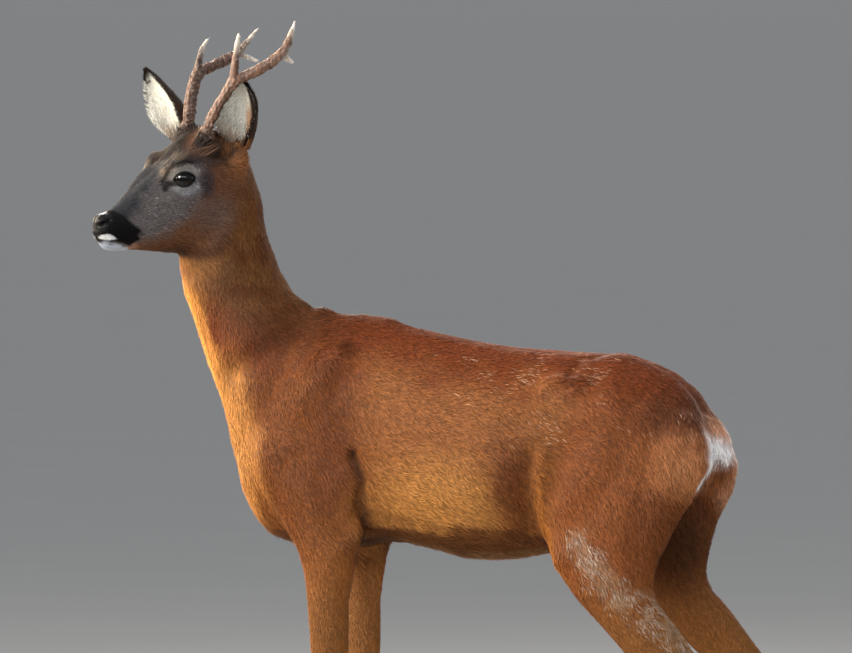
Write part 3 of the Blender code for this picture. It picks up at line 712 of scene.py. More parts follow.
def earBulb(side):
    # fills the bottom of the ear's cup
    bm = bmesh.new()
    bmesh.ops.create_uvsphere(bm, u_segments=36, v_segments=24, radius=1.0)
    root, tip, opening = (Vector(row) for row in earShape[side])
    axis = (tip - root).normalized()
    opening = (opening - opening.dot(axis) * axis).normalized()
    sideways = axis.cross(opening)
    middle = root + axis * earShape["bulbAlong"]
    wide, deep, high = earShape["bulb"]
    for vert in bm.verts:
        x, y, z = vert.co
        place = middle + sideways * (x * wide) + opening * (y * deep) + axis * (z * high)
        if side == "right":
            place.y *= -1.0
        vert.co = Vector(fromHead(tuple(place)))
    if side == "right":
        bmesh.ops.reverse_faces(bm, faces=bm.faces)
    bmesh.ops.recalc_face_normals(bm, faces=bm.faces)
    mesh = bpy.data.meshes.new("earBulb")
    bm.to_mesh(mesh)
    bm.free()
    return mesh


# the ears grow out of the skin
for side, making in product(sideSign, (earBulb, earMesh)):
    shell = newObject(f"earShell_{side}", making(side))
    grow = skin.modifiers.new("grow", "BOOLEAN")
    grow.operation = "UNION"
    grow.solver = "MANIFOLD"
    grow.object = shell
    applied(skin)
    bpy.data.objects.remove(shell, do_unlink=True)
mesh = skin.data
for side, sign in sideSign.items():
    root = np.array(earShape[side][0]) * (1.0, -sign, 1.0)
    gap = np.linalg.norm(toHead(readPoints(mesh)) - root, axis=1)
    smoothed(mesh, 6, fade(gap, *earShape["rootReach"]), keep=0.3)
mesh.shade_smooth()
print("skin: ears grown on,", len(mesh.polygons), "faces")

# Markings: the same functions colour the skin and the hair that stands on it
coatColours = {
    "back": (110, 52, 23),
    "flank": (135, 82, 45),
    "flankLowLit": (175, 121, 71),
    "flankShade": (90, 43, 16),
    "shoulder": (110, 60, 26),
    "neck": (104, 66, 38),
    "neckDarkAndShade": (88, 44, 19),
    "throat": (232, 160, 90),
    "litChestFront": (186, 128, 76),
    "belly": (120, 82, 54),
    "bellyShade": (84, 45, 22),
    "innerLeg": (146, 98, 62),
    "thighEdge": (180, 110, 48),
    "leg": (125, 80, 45),
    "shin": (106, 65, 41),
    "moult": (172, 154, 142),
    "hockTuft": (84, 54, 38),
    "pastern": (123, 88, 60),
    "rumpEdge": (212, 156, 122),
    "rump": (250, 250, 255),
    "faceGrey": (93, 88, 90),
    "bridge": (42, 44, 50),
    "forehead": (50, 42, 42),
    "foreheadDark": (30, 23, 22),
    "cheek": (102, 68, 46),
    "jaw": (88, 51, 25),
    "eyeDark": (52, 45, 48),
    "eyeRing": (150, 153, 162),
    "lidPale": (134, 130, 126),
    "lid": (12, 9, 10),
    "tear": (26, 20, 23),
    "browPale": (146, 128, 108),
    "browDark": (30, 24, 24),
    "muzzleBlack": (6, 5, 6),
    "lipWhite": (226, 228, 232),
    "chinWhite": (172, 182, 198),
    "lipBrown": (158, 118, 98),
    "hornRoot": (118, 80, 52),
    "hornBlack": (20, 15, 15),
    "earBack": (120, 84, 58),
    "earBase": (156, 102, 62),
    "earEdge": (42, 29, 24),
    "creaseShade": (58, 32, 20),
    "haunch": (130, 73, 39),
    "haunchDarkAndShade": (96, 54, 32),
    "jawShade": (64, 42, 28),
    "earInside": (240, 238, 228),
    "earFold": (176, 130, 88),
}
coatColours = {name: paint(*colour) for name, colour in coatColours.items()}
# outlines and lines on the side of the head, in (forward, up)
faceLines = {
    "blackMuzzle": ((0.152, -0.029), (0.1424, -0.0365), (0.134, -0.042), (0.125, -0.051), (0.112, -0.0605),
                    (0.115, -0.069), (0.1225, -0.0785), (0.129, -0.0755), (0.138, -0.0735), (0.15, -0.0735),
                    (0.16, -0.0728), (0.175, -0.072), (0.175, -0.029)),
    "whiteLip": ((0.144, -0.0695), (0.148, -0.0655), (0.154, -0.0632), (0.16, -0.0655), (0.161, -0.0695),
                 (0.152, -0.0712)),
    "whiteChin": ((0.168, -0.0745), (0.15, -0.0745), (0.138, -0.0765), (0.127, -0.0795), (0.1205, -0.0835),
                  (0.123, -0.093), (0.168, -0.093)),
    "brownCheek": ((0.124, -0.081), (0.1109, -0.0725), (0.0832, -0.064), (0.0583, -0.039), (0.045, -0.019),
                   (0.038, 0.002), (0.039, 0.026), (0.046, 0.06), (-0.1, 0.09), (-0.12, -0.13), (0.12, -0.11)),
    "upperLid": ((0.085, 0.005), (0.0815, 0.013), (0.0745, 0.019), (0.064, 0.0212), (0.054, 0.019),
                 (0.048, 0.012), (0.0505, 0.004), (0.065, 0.006), (0.079, 0.001)),
    "underEye": ((0.0825, -0.004), (0.0776, -0.0099), (0.07, -0.015), (0.061, -0.0155), (0.053, -0.012),
                 (0.0485, -0.006), (0.05, -0.0005), (0.065, -0.002), (0.079, -0.0015)),
    "browFold": ((0.0904, -0.0028), (0.0857, 0.0055), (0.0831, 0.0145), (0.078, 0.0211), (0.0671, 0.0247),
                 (0.0563, 0.0232)),
    "browRidge": ((0.093, 0.002), (0.086, 0.01), (0.077, 0.0205), (0.068, 0.0285), (0.056, 0.0335),
                  (0.04, 0.035)),
    "tear": ((0.0775, -0.002), (0.0845, -0.0035), (0.087, -0.009)),
    "bareNose": ((0.156, -0.03), (0.148, -0.0385), (0.1445, -0.048), (0.15, -0.059), (0.1575, -0.0605),
                 (0.164, -0.0635), (0.175, -0.065), (0.175, -0.03)),
}
mouthLine = strokeLine(headStrokes, "mouth")
moultLine = ((0.218, 0.446), (0.248, 0.398), (0.335, 0.34))     # down the thigh, in (along, up)


class Tints:
    # colours laid over one another, each through its mask
    def __init__(self, size, colour):
        self.value = np.tile(coatColours[colour], (size, 1))

    def lay(self, colour, mask):
        self.value += (coatColours[colour] - self.value) * np.clip(mask, 0.0, 1.0)[:, None]

    def ball(self, colour, share, places, centre, radii, edge):
        self.lay(colour, share * ballMask(places, centre, radii, edge))

    def line(self, colour, share, places, line, low, high, shift=0.0):
        self.lay(colour, share * fade(lineGap(places, line) + shift, low, high))


def bodyTints(points, normals):
    away = toBody(points)
    body = foldedSides(away)
    x, out, z = body.T
    flat = np.stack((x, z), axis=1)
    wander = fuzz(points, 0.03, 3) - 0.5
    patchy = fuzz(points, 0.012, 5) - 0.5
    tints = Tints(len(points), "flank")
    # trunk
    tints.ball("shoulder", 1.0, body, (-0.15, 0.06, 0.56), (0.085, 0.2, 0.13), 0.5)
    tints.lay("haunch", smoothStep(x + 0.03 * wander, 0.165, 0.215))
    # painted shade on the back of the thigh
    tints.ball("haunchDarkAndShade", 0.75, body, (0.335, 0.08, 0.455), (0.045, 0.2, 0.085), 0.7)
    # painted light: the low flank made lighter where light falls on it
    tints.ball("flankLowLit", 0.85, body, (0.035, 0.09, 0.48), (0.085, 0.2, 0.058), 0.6)
    # painted shade: darker in the hollow behind the shoulder and in front of the flank fold
    tints.ball("flankShade", 0.6, body, (-0.088, 0.08, 0.575), (0.026, 0.2, 0.085), 0.8)
    uneven = body + 0.02 * wander[:, None]
    tints.ball("flankShade", 0.75, uneven, (0.13, 0.09, 0.51), (0.026, 0.2, 0.058), 0.7)
    backLine = np.interp(x, (-0.2, -0.1, 0.05, 0.25, 0.33, 0.36), (0.64, 0.655, 0.632, 0.622, 0.592, 0.56))
    tints.lay("back", smoothStep(z + 0.035 * wander, backLine - 0.035, backLine + 0.035) * (x > -0.26))
    thighFront = np.interp(z, (0.36, 0.383, 0.424, 0.455, 0.49, 0.6),
                           (0.211, 0.199, 0.1825, 0.1715, 0.164, 0.169))
    thighEdge = np.exp(-((x - thighFront + 0.004 * wander) / 0.0055) ** 2) * (out > 0.03)
    tints.lay("thighEdge", 0.6 * thighEdge * smoothStep(z, 0.36, 0.42) * fade(z, 0.5, 0.58))
    # painted shade along the hip crease
    hipLine = (*strokeLine(bodyStrokes, "hipCrease")[:-1], (0.1935, 0.068, 0.635))
    tints.line("flankShade", 0.8, body, hipLine, 0.003, 0.011, 0.003 * patchy)
    # painted shade where the trunk turns under: a dark band where it starts to face down, then the buff belly
    # colour, also darkened as painted shade
    facingDown = -normals[:, 2] + 0.22 * wander + 0.15 * patchy
    trunkOnly = (z > 0.405) * (z < 0.5) * fade(x, 0.17, 0.2)
    tints.lay("bellyShade", 0.85 * smoothStep(facingDown, 0.5, 0.72) * trunkOnly)
    tints.lay("belly", smoothStep(facingDown, 0.8, 0.97) * trunkOnly)
    # neck: greyer brown, with painted light down its front
    neckShare = smoothStep(z + 0.55 * x, 0.545, 0.62) * fade(x, -0.15, -0.105)
    tints.lay("neck", neckShare)
    tints.lay("neckDarkAndShade", 0.7 * neckShare * smoothStep(fuzz(points, 0.02, 9), 0.45, 0.75))
    # painted shade in the groove where the neck meets the withers and runs down in front of the shoulder
    tints.ball("neckDarkAndShade", 0.8, body, (-0.15, 0.04, 0.692), (0.06, 0.07, 0.03), 0.8)
    tints.line("neckDarkAndShade", 0.6, body, ((-0.15, 0.05, 0.69), (-0.23, 0.05, 0.64)), 0.008, 0.022)
    # painted light: the throat and the front of the neck and chest made lighter where they face forward
    front = smoothStep(-normals[:, 0] + 0.3 * wander, 0.25, 0.8) * smoothStep(z, 0.4, 0.5)
    front *= fade(x + 0.25 * np.maximum(z - 0.6, 0.0), -0.2, -0.165)
    tints.lay("throat", 0.9 * front * (z < 0.83) * (0.35 + 0.65 * smoothStep(z, 0.54, 0.64)))
    tints.ball("throat", 0.22, body, (-0.29, 0.025, 0.765), (0.024, 0.045, 0.06), 0.8)
    # painted light on the front of the chest
    tints.ball("litChestFront", 0.9, body, (-0.232, 0.02, 0.57), (0.03, 0.06, 0.09), 0.6)
    elbow = ((-0.07, 0.076, 0.548), *strokeLine(bodyStrokes, "elbowCrease")[1:])
    # painted shade in the elbow crease and under the chest between the forelegs
    tints.line("creaseShade", 0.9, body, elbow, 0.0035, 0.01)
    tints.ball("creaseShade", 0.85, body, (-0.058, 0.02, 0.436), (0.03, 0.052, 0.02), 0.7)
    # legs
    legShare = fade(z, 0.33, 0.43)
    tints.lay("leg", legShare)
    facing = normals[:, 1] * np.sign(away[:, 1])
    inner = smoothStep(-facing, 0.25, 0.8) * (out > 0.012) * (z < 0.47)
    # paler inside the legs; the hind legs get less of it, their inner side left darker as painted shade
    tints.lay("innerLeg", (0.75 - 0.45 * (x > 0.05)) * inner)
    rear = np.stack((x, np.abs(away[:, 1] - 0.02), z), axis=1)      # both sides laid on one at the tail
    # painted shade between the hind legs, on the thighs' inner side
    tints.ball("creaseShade", 0.8, rear, (0.303, 0.01, 0.44), (0.05, 0.038, 0.055), 0.7)
    tints.lay("shin", 0.6 * legShare * smoothStep(-normals[:, 0], 0.45, 0.9) * (z < 0.25))
    tints.lay("pastern", 0.7 * fade(z, 0.07, 0.1))
    tints.ball("hockTuft", 0.85 * (x > 0.2), body, (0.352, 0.082, 0.208), (0.022, 0.016, 0.022), 0.5)
    moult = fade(lineGap(flat, (*moultLine, (0.35, 0.3))), 0.008, 0.026)
    moult *= smoothStep(fuzz(points, 0.009, 11) + 0.25 * wander, 0.3, 0.62) * (facing > -0.2)
    tints.lay("moult", 0.3 * moult * (z < 0.47))
    tints.value[:, 2] *= 0.8        # less blue in all but the rump
    # rump, about the middle of the tail
    frayed, ragged, torn = (rear + size * patchy[:, None] for size in (0.004, 0.01, 0.016))
    tints.ball("haunchDarkAndShade", 0.9, rear, (0.326, 0.04, 0.596), (0.05, 0.07, 0.026), 0.6)
    tints.ball("thighEdge", 0.6, torn, (0.336, 0.066, 0.536), (0.04, 0.042, 0.032), 0.9)
    tints.ball("rumpEdge", 0.85, ragged, (0.358, 0.022, 0.566), (0.026, 0.036, 0.026), 0.6)
    tints.ball("rumpEdge", 0.35, torn, (0.34, 0.06, 0.54), (0.036, 0.04, 0.032), 0.9)
    # painted warm rim light: the far side of the rump patch turned tan
    farLitRim = np.linalg.norm((away - (0.358, 0.056, 0.525)) / (0.034, 0.024, 0.06), axis=1)
    tints.lay("rumpEdge", 0.6 * fade(farLitRim, 0.4, 1.0))
    tints.line("rump", 0.45, rear, ((0.36, 0.008, 0.548), (0.368, 0.01, 0.582)), 0.005, 0.016, 0.006 * patchy)
    tints.line("rump", 0.4, rear, ((0.36, 0.012, 0.55), (0.354, 0.052, 0.572)), 0.005, 0.017, 0.006 * patchy)
    # the white patch fades on the far side, where the painted rim light takes its place
    nearSide = 1.0 - 0.8 * smoothStep(away[:, 1], 0.02, 0.036)
    tints.ball("rump", nearSide, frayed, (0.36, 0.036, 0.553), (0.028, 0.026, 0.0185), 0.5)
    streak = ((0.359, 0.024, 0.545), (0.3523, 0.04, 0.524), (0.3412, 0.033, 0.502))
    tints.line("rump", 0.9, rear, streak, 0.002, 0.007)
    tints.ball("haunch", 0.8, rear, (0.372, 0.0, 0.518), (0.03, 0.024, 0.02), 0.8)
    return tints.value


def headTints(points, normals):
    head = toHead(points)
    folded = foldedSides(head)
    forward, out, up = folded.T
    flat = np.stack((forward, up), axis=1)
    rough = fuzz(points, 0.006, 21) - 0.5
    broken = flat + 0.006 * rough[:, None]
    nearEye = edgeGap(folded)
    tints = Tints(len(points), "faceGrey")
    tints.lay("cheek", outlineMask(broken, faceLines["brownCheek"], 0.011))
    tints.ball("faceGrey", 0.45, folded, (0.0285, 0.0465, -0.0374), (0.026, 0.03, 0.02), 0.9)
    jaw = fade(up, -0.088, -0.07) * smoothStep(forward, 0.005, 0.05) * fade(forward, 0.115, 0.128)
    tints.lay("jaw", 0.8 * jaw)
    # painted shade in the corner under the jaw
    tints.ball("jawShade", 0.8, folded, (0.062, 0.02, -0.09), (0.024, 0.03, 0.012), 0.7)
    tints.lay("forehead", smoothStep(up, 0.014, 0.027) * smoothStep(forward, 0.005, 0.03) * 0.92)
    ridge = fade(out + 0.004 * rough, 0.016, 0.026)
    facingUp = smoothStep(normals @ headAxes[2], 0.05, 0.45)
    tints.lay("bridge", ridge * smoothStep(forward, 0.07, 0.095) * facingUp)
    tints.lay("bridge", 0.45 * smoothStep(forward, 0.085, 0.125) * smoothStep(up + 0.55 * forward, 0.02, 0.045))
    streaks = smoothStep(fuzz(folded * (0.35, 1.0, 1.0), 0.0026, 27), 0.35, 0.65)
    tints.ball("browPale", 0.02 + 0.12 * streaks, folded, (0.08, 0.032, 0.026), (0.015, 0.013, 0.011), 0.7)
    tints.ball("browPale", 0.15 + 0.6 * streaks, folded, (0.086, 0.03, 0.0125), (0.0075, 0.012, 0.008), 0.6)
    tints.ball("foreheadDark", 0.85, head, (0.053, 0.005, 0.046), (0.017, 0.012, 0.015), 0.6)
    tints.ball("hornRoot", 0.7, folded, (0.036, 0.026, 0.046), (0.022, 0.02, 0.018), 0.6)
    crest = ((0.07, -0.008, 0.028), (0.06, -0.008, 0.037), (0.0455, -0.01, 0.049), (0.037, -0.012, 0.057))
    tints.line("foreheadDark", 0.92, head, crest, 0.009, 0.0165, 0.004 * rough)
    behindHorn = ((0.0419, 0.029, 0.0455), (0.03, 0.035, 0.049), (0.019, 0.038, 0.056))
    tints.line("hornBlack", 0.95, folded, behindHorn, 0.0075, 0.013, 0.003 * rough)
    tints.ball("earBase", 0.7, folded, (-0.006, 0.042, 0.03), (0.02, 0.022, 0.022), 0.8)
    curls = smoothStep(fuzz(folded, 0.006, 29), 0.42, 0.6)
    tints.ball("foreheadDark", 0.75 * curls, folded, (0.018, 0.042, 0.036), (0.024, 0.024, 0.018), 0.8)
    # round the eye
    tints.ball("eyeDark", 0.9, folded, (0.0385, 0.045, -0.001), (0.009, 0.02, 0.0175), 0.5)
    tints.lay("lidPale", 0.85 * outlineMask(broken, faceLines["upperLid"], 0.0022))
    ridge = np.exp(-(lineGap(flat, faceLines["browRidge"]) / 0.0014) ** 2)
    tints.lay("browPale", 0.22 * ridge * (out > 0.008) * smoothStep(forward, 0.05, 0.064))
    fold = np.exp(-(lineGap(flat, faceLines["browFold"]) / 0.0022) ** 2)
    tints.lay("browDark", 0.95 * fold * (out > 0.012))
    tints.lay("eyeRing", 0.55 * outlineMask(broken, faceLines["underEye"], 0.0034))
    tints.lay("eyeRing", 0.75 * fade(nearEye, 0.002, 0.0048) * (up < eyePlace[2] - 0.003))
    tints.line("tear", 0.92 * (out > 0.015), flat, faceLines["tear"], 0.0016, 0.005)
    tints.lay("lid", fade(nearEye, 0.0012, 0.0019))
    # painted light on the throat just under the jaw
    tints.lay("throat", 0.3 * fade(up + 0.15 * forward, -0.092, -0.082) * smoothStep(forward, -0.02, 0.02))
    # muzzle
    tints.ball("lipBrown", 0.7, folded, (0.119, 0.02, -0.08), (0.007, 0.02, 0.005), 0.5)
    tints.lay("chinWhite", outlineMask(broken, faceLines["whiteChin"], 0.0018))
    tints.lay("muzzleBlack", outlineMask(broken, faceLines["blackMuzzle"], 0.0014))
    tints.lay("lipWhite", outlineMask(flat, faceLines["whiteLip"], 0.001) * smoothStep(out, 0.0035, 0.006))
    tints.line("muzzleBlack", 1.0, folded, mouthLine, 0.001, 0.002)
    return tints.value


def headShare(points):
    # 1 on the head, 0 on the neck, blending behind the jaw and the ears
    head, body = toHead(points), toBody(points)
    edge = head[:, 0] * 0.85 + head[:, 2] * 0.3 + 0.006 * (fuzz(points, 0.008, 31) - 0.5)
    return smoothStep(edge, -0.03, -0.002) * smoothStep(body[:, 2], 0.735, 0.765)


def tintsAt(points, normals):
    share = headShare(points)[:, None]
    return bodyTints(points, normals) * (1.0 - share) + headTints(points, normals) * share


def noseShare(points):
    # bare, wet skin of the nose
    return outlineMask(foldedSides(toHead(points))[:, (0, 2)], faceLines["bareNose"], 0.001)


class EarFinder:
    # the nearest place on an ear for points near it
    def __init__(self, side):
        along, across = np.meshgrid(np.linspace(0.0, 1.0, 60), np.linspace(-1.0, 1.0, 41), indexing="ij")
        self.along, self.across = along.ravel(), across.ravel()
        middle = earPoint(self.along, self.across, side)
        self.tree = KDTree(len(middle))
        for index, point in enumerate(middle):
            self.tree.insert(point, index)
        self.tree.balance()
        self.front = unit(earPoint(self.along, self.across, side, -0.001) - middle)
        self.low, self.high = middle.min(axis=0) - 0.006, middle.max(axis=0) + 0.006
        self.middle = middle

    def find(self, points):
        # along, across, distance, and on which side of the ear's wall (1 inside the cup)
        size = len(points)
        along, across, gap, inner = np.zeros(size), np.zeros(size), np.full(size, 1.0), np.zeros(size)
        for i in np.flatnonzero(np.all((points > self.low) & (points < self.high), axis=1)):
            _, index, distance = self.tree.find(points[i])
            along[i], across[i], gap[i] = self.along[index], self.across[index], distance
            inner[i] = (points[i] - self.middle[index]) @ self.front[index] > 0
        return along, across, gap, inner


def earTints(along, across, inner, wander):
    # across counts towards the ear's rear edge
    tints = Tints(len(along), "earBack")
    tints.lay("earBase", fade(along + 0.2 * wander, 0.14, 0.34))
    tints.lay("earEdge", 0.95 * smoothStep(across + 0.1 * wander, 0.05, 0.45))
    tints.lay("earInside", 0.8 * smoothStep(-across + 0.1 * wander, 0.6, 0.85))
    tints.lay("earEdge", smoothStep(along + 0.08 * wander, 0.84, 0.93))
    inside = Tints(len(along), "earInside")
    inside.lay("earFold", 0.6 * fade(along + 0.25 * wander + 0.1 * across, 0.05, 0.26))
    inside.lay("earFold", 0.85 * smoothStep(across + 0.1 * wander, 0.26, 0.4) * fade(along, 0.45, 0.75))
    inside.lay("earEdge", smoothStep(across + 0.06 * wander, 0.46, 0.6) * smoothStep(along, 0.02, 0.12))
    inside.lay("earEdge", 0.9 * smoothStep(along + 0.05 * wander, 0.9, 0.96))
    return np.where(inner[:, None] > 0.5, inside.value, tints.value)


def rearSign(side):
    # which way across an ear leads to its rear edge
    edges = toHead(earPoint(np.array((0.5, 0.5)), np.array((1.0, -1.0)), side))
    return -np.sign(edges[0, 0] - edges[1, 0]) * (1.0 if side == "left" else -1.0)


underHair = 0.85        # the skin is this much darker than its hair
rearBand = {"left": 0.3, "right": 0.0}      # how much further the dark rear edge reaches into the cup
earFinders = {side: EarFinder(side) for side in sideSign}
points, normals = readPoints(mesh), readNormals(mesh)
tints = tintsAt(points, normals)
onEar = np.zeros(len(points))
for side, finder in earFinders.items():
    along, across, gap, inner = finder.find(points)
    share = fade(gap, 0.0028, 0.0045) * smoothStep(along, 0.1, 0.2)
    colours = earTints(along, across * rearSign(side) + rearBand[side], inner, fuzz(points, 0.008, 41) - 0.5)
    tints += (colours - tints) * share[:, None]
    onEar = np.maximum(onEar, share)
storeColour(mesh, "tint", tints * underHair)
storeValue(mesh, "bare", noseShare(points))
skinFinish = Finish("deerSkin", {"Roughness": 0.8, "Specular IOR Level": 0.07, "Coat Roughness": 0.18})
bare = skinFinish.attribute("bare")
down = skinFinish.stretched((0.45, 1.0, 0.75))
strands = skinFinish.noise(900.0, 3.0, down)
blotches = skinFinish.noise(110.0, 3.0, down)
pebbles = skinFinish.add("ShaderNodeTexVoronoi", {"feature": "SMOOTH_F1"},
                         {"Vector": skinFinish.place(), "Scale": 900.0, "Smoothness": 0.5})
tone = strands.step(0.25, 0.75) * 0.35 + blotches.step(0.25, 0.75) * 0.2 + 0.72
height = strands * (1 - bare) * 0.001 + pebbles * bare * 0.0008
skinFinish.feed({
    "Base Color": skinFinish.shade(skinFinish.attribute("tint", "Color"), tone * (1 - bare) + bare * 0.35),
    "Roughness": bare * -0.4 + 0.82,
    "Coat Weight": bare * 0.1,
    "Normal": skinFinish.bump(height, 1.0, 0.8),
})
skinNodes = [name for name in fleshNodes if not name.startswith("eye")]
place(skin, skinFinish, "coat", *skinNodes, "ear_left", "ear_right")
print("skin: coloured")

# Eyes: a ball with a swelling front, dark iris and a level pupil
eyeLook = {
    "bulge": 0.0006,
    "iris": 0.6,           # reach of the iris and of the pupil, as shares of the radius
    "pupil": (0.42, 0.24),
    "irisColour": paint(13, 8, 7),
    "edgeColour": paint(9, 6, 7),
    "lidColours": (paint(9, 7, 8), paint(26, 20, 20)),
    "lidRim": 0.00105,
    "lashes": 34,
    "lash": 0.007,         # length, and half the thickness
    "lashThick": 0.00016,
}
eyeFinish = Finish("eyeGlass", {"Roughness": 0.1, "Specular IOR Level": 0.05, "Coat Weight": 0.42,
                                "Coat Roughness": 0.01})
rays = eyeFinish.noise(1400.0, 2.0).step(0.3, 0.7) * 0.5 + 0.7
eyeFinish.feed({"Base Color": eyeFinish.shade(eyeFinish.attribute("tint", "Color"), rays)})
lidFinish = Finish("lidSkin", {"Roughness": 0.5, "Specular IOR Level": 0.12, "Coat Weight": 0.05,
                               "Coat Roughness": 0.2})
creases = lidFinish.noise(1500.0, 3.0)
lidFinish.feed({
    "Base Color": lidFinish.mix(creases.step(0.3, 0.7), *(opaque(colour) for colour in eyeLook["lidColours"])),
    "Normal": lidFinish.bump(creases * 0.0006, 1.0, 0.6),
})


def tubeAlong(line, radius, closed=False, sides=8):
    # points and faces of a tube; radius is one number or one for each place
    line = np.asarray(line, float)
    ahead = np.roll(line, -1, axis=0) - np.roll(line, 1, axis=0) if closed else np.gradient(line, axis=0)
    ahead = unit(ahead)
    across = unit(np.cross(ahead, (0.13, 0.31, 0.94)))
    lift = np.cross(ahead, across)
    turn = np.arange(sides) * 2.0 * pi / sides
    radius = np.broadcast_to(radius, (len(line),))[:, None, None]
    around = across[:, None] * np.cos(turn)[:, None] + lift[:, None] * np.sin(turn)[:, None]
    points = line[:, None] + radius * around
    grid = np.arange(len(line) * sides).reshape(-1, sides)
    if closed:
        grid = np.concatenate((grid, grid[:1]))
    beside = np.roll(grid, -1, axis=1)
    faces = np.stack((grid[:-1], grid[1:], beside[1:], beside[:-1]), axis=-1)
    return points.reshape(-1, 3), faces.reshape(-1, 4)


def stacked(parts):
    # several sets of points and faces as one
    points, faces, size = [], [], 0
    for partPoints, partFaces in parts:
        points.append(partPoints)
        faces.append(partFaces + size)
        size += len(partPoints)
    return np.concatenate(points), np.concatenate(faces)


for side, sign in sideSign.items():
    bm = bmesh.new()
    bmesh.ops.create_uvsphere(bm, u_segments=80, v_segments=56, radius=eyeRadius)
    mesh = bpy.data.meshes.new(f"eye_{side}")
    bm.to_mesh(mesh)
    bm.free()
    points = readPoints(mesh)
    toward = unit(points)
    front = toward @ eyeAxis
    points += toward * (eyeLook["bulge"] * smoothStep(front, 0.45, 0.9))[:, None]
    x, y = toward @ eyeFront, toward @ eyeUp
    reach = np.hypot(x, y)
    tints = np.tile(eyeLook["edgeColour"], (len(points), 1))
    iris = fade(reach, eyeLook["iris"], eyeLook["iris"] + 0.1) * (front > 0)
    tints += (eyeLook["irisColour"] - tints) * iris[:, None]
    pupil = fade(np.hypot(x / eyeLook["pupil"][0], y / eyeLook["pupil"][1]), 0.85, 1.15)
    tints *= (1.0 - 0.93 * pupil * (front > 0))[:, None]
    storeColour(mesh, "tint", tints)
    writePoints(mesh, fromHead((points + eyePlace) * (1.0, -sign, 1.0)))
    if sign > 0:
        mesh.flip_normals()
    mesh.shade_smooth()
    place(newObject(f"eye_{side}_ball", mesh), eyeFinish, "eye", f"eye_{side}")

chance = np.random.default_rng(23)
parts = []
for sign in sideSign.values():
    x, y = lidEdge(np.linspace(0.0, 2.0 * pi, 72, endpoint=False))
    thick = eyeLook["lidRim"] * np.where(y > 0, 1.15, 0.85)
    edge = onEyeball(x, y, eyeRadius + 0.0007)
    parts.append(tubeAlong(fromHead(edge * (1.0, -sign, 1.0)), thick, closed=True))
    for share in np.linspace(-0.8, 0.55, eyeLook["lashes"]):
        at = np.array([share + 0.02 * chance.normal()])
        rise = lidHeight(at, True)
        root = onEyeball(at, rise, eyeRadius + lidShape["edgeRise"])[0]
        out = unit(eyeAxis * 0.9 + eyeFront * (0.55 * share) + eyeUp * 0.25)
        t = np.linspace(0.0, 1.0, 6)[:, None]
        bend = eyeUp * (0.002 * t ** 2 - 0.0024 * t)
        hair = root + out * (eyeLook["lash"] * chance.uniform(0.7, 1.1) * t) + bend
        thin = eyeLook["lashThick"] * (1.05 - t[:, 0])
        parts.append(tubeAlong(fromHead(hair * (1.0, -sign, 1.0)), thin, sides=4))
points, faces = stacked(parts)
mesh = fromArrays("eyelids", points, faces)
mesh.shade_smooth()
place(newObject("eyelids", mesh), lidFinish, "nose")
print("eyes, lids and lashes: done")

# Antlers: each side melted into one, with pearls low down and at the back, grooves and polished tips
antlerLook = {
    "swell": 0.0003,
    "voxel": 0.00095,
    "smoothing": 10,
    "beamGrowth": {"left": -0.0016, "right": -0.0011},
    "coronetNarrowing": 0.26,       # towards the middle of its foot
    "foot": (0.03, 0.0245),
    "tineThinning": {"left": 0.0004, "right": 0.0011},
    "bow": {"left": 0.0, "right": -0.0026},      # how far the beam swings back, and which way
    "bowWay": np.array((0.951, 0.309, 0.0)),
    "pearls": 330,
    "pearlSize": (0.0013, 0.0021),
    "pearlRise": (0.0008, 0.0019),
    "crownPearls": 26,      # round the coronet, and how much larger
    "crownSwell": 1.35,
    "groove": 0.0007,
    # dark serves the base and painted shade; pale serves worn pearls and painted light
    "brown": paint(124, 90, 70),
    "dark": paint(58, 38, 30),
    "pale": paint(144, 108, 88),
    "tip": paint(222, 214, 202),
    "tipReach": (0.003, 0.031),
}
antlerFinish = Finish("antlerBone", {"Roughness": 0.55, "Specular IOR Level": 0.4})
grainUp = antlerFinish.stretched((1.0, 1.0, 0.12))
grain = antlerFinish.noise(520.0, 4.0, grainUp)
pits = antlerFinish.noise(900.0, 3.0)
boneTone = grain.step(0.25, 0.75) * 0.6 + 0.66
antlerFinish.feed({
    "Base Color": antlerFinish.shade(antlerFinish.attribute("tint", "Color"), boneTone),
    "Roughness": pits * 0.25 + 0.42,
    "Normal": antlerFinish.bump(grain * 0.0012 + pits * 0.0005, 1.0, 0.75),
})
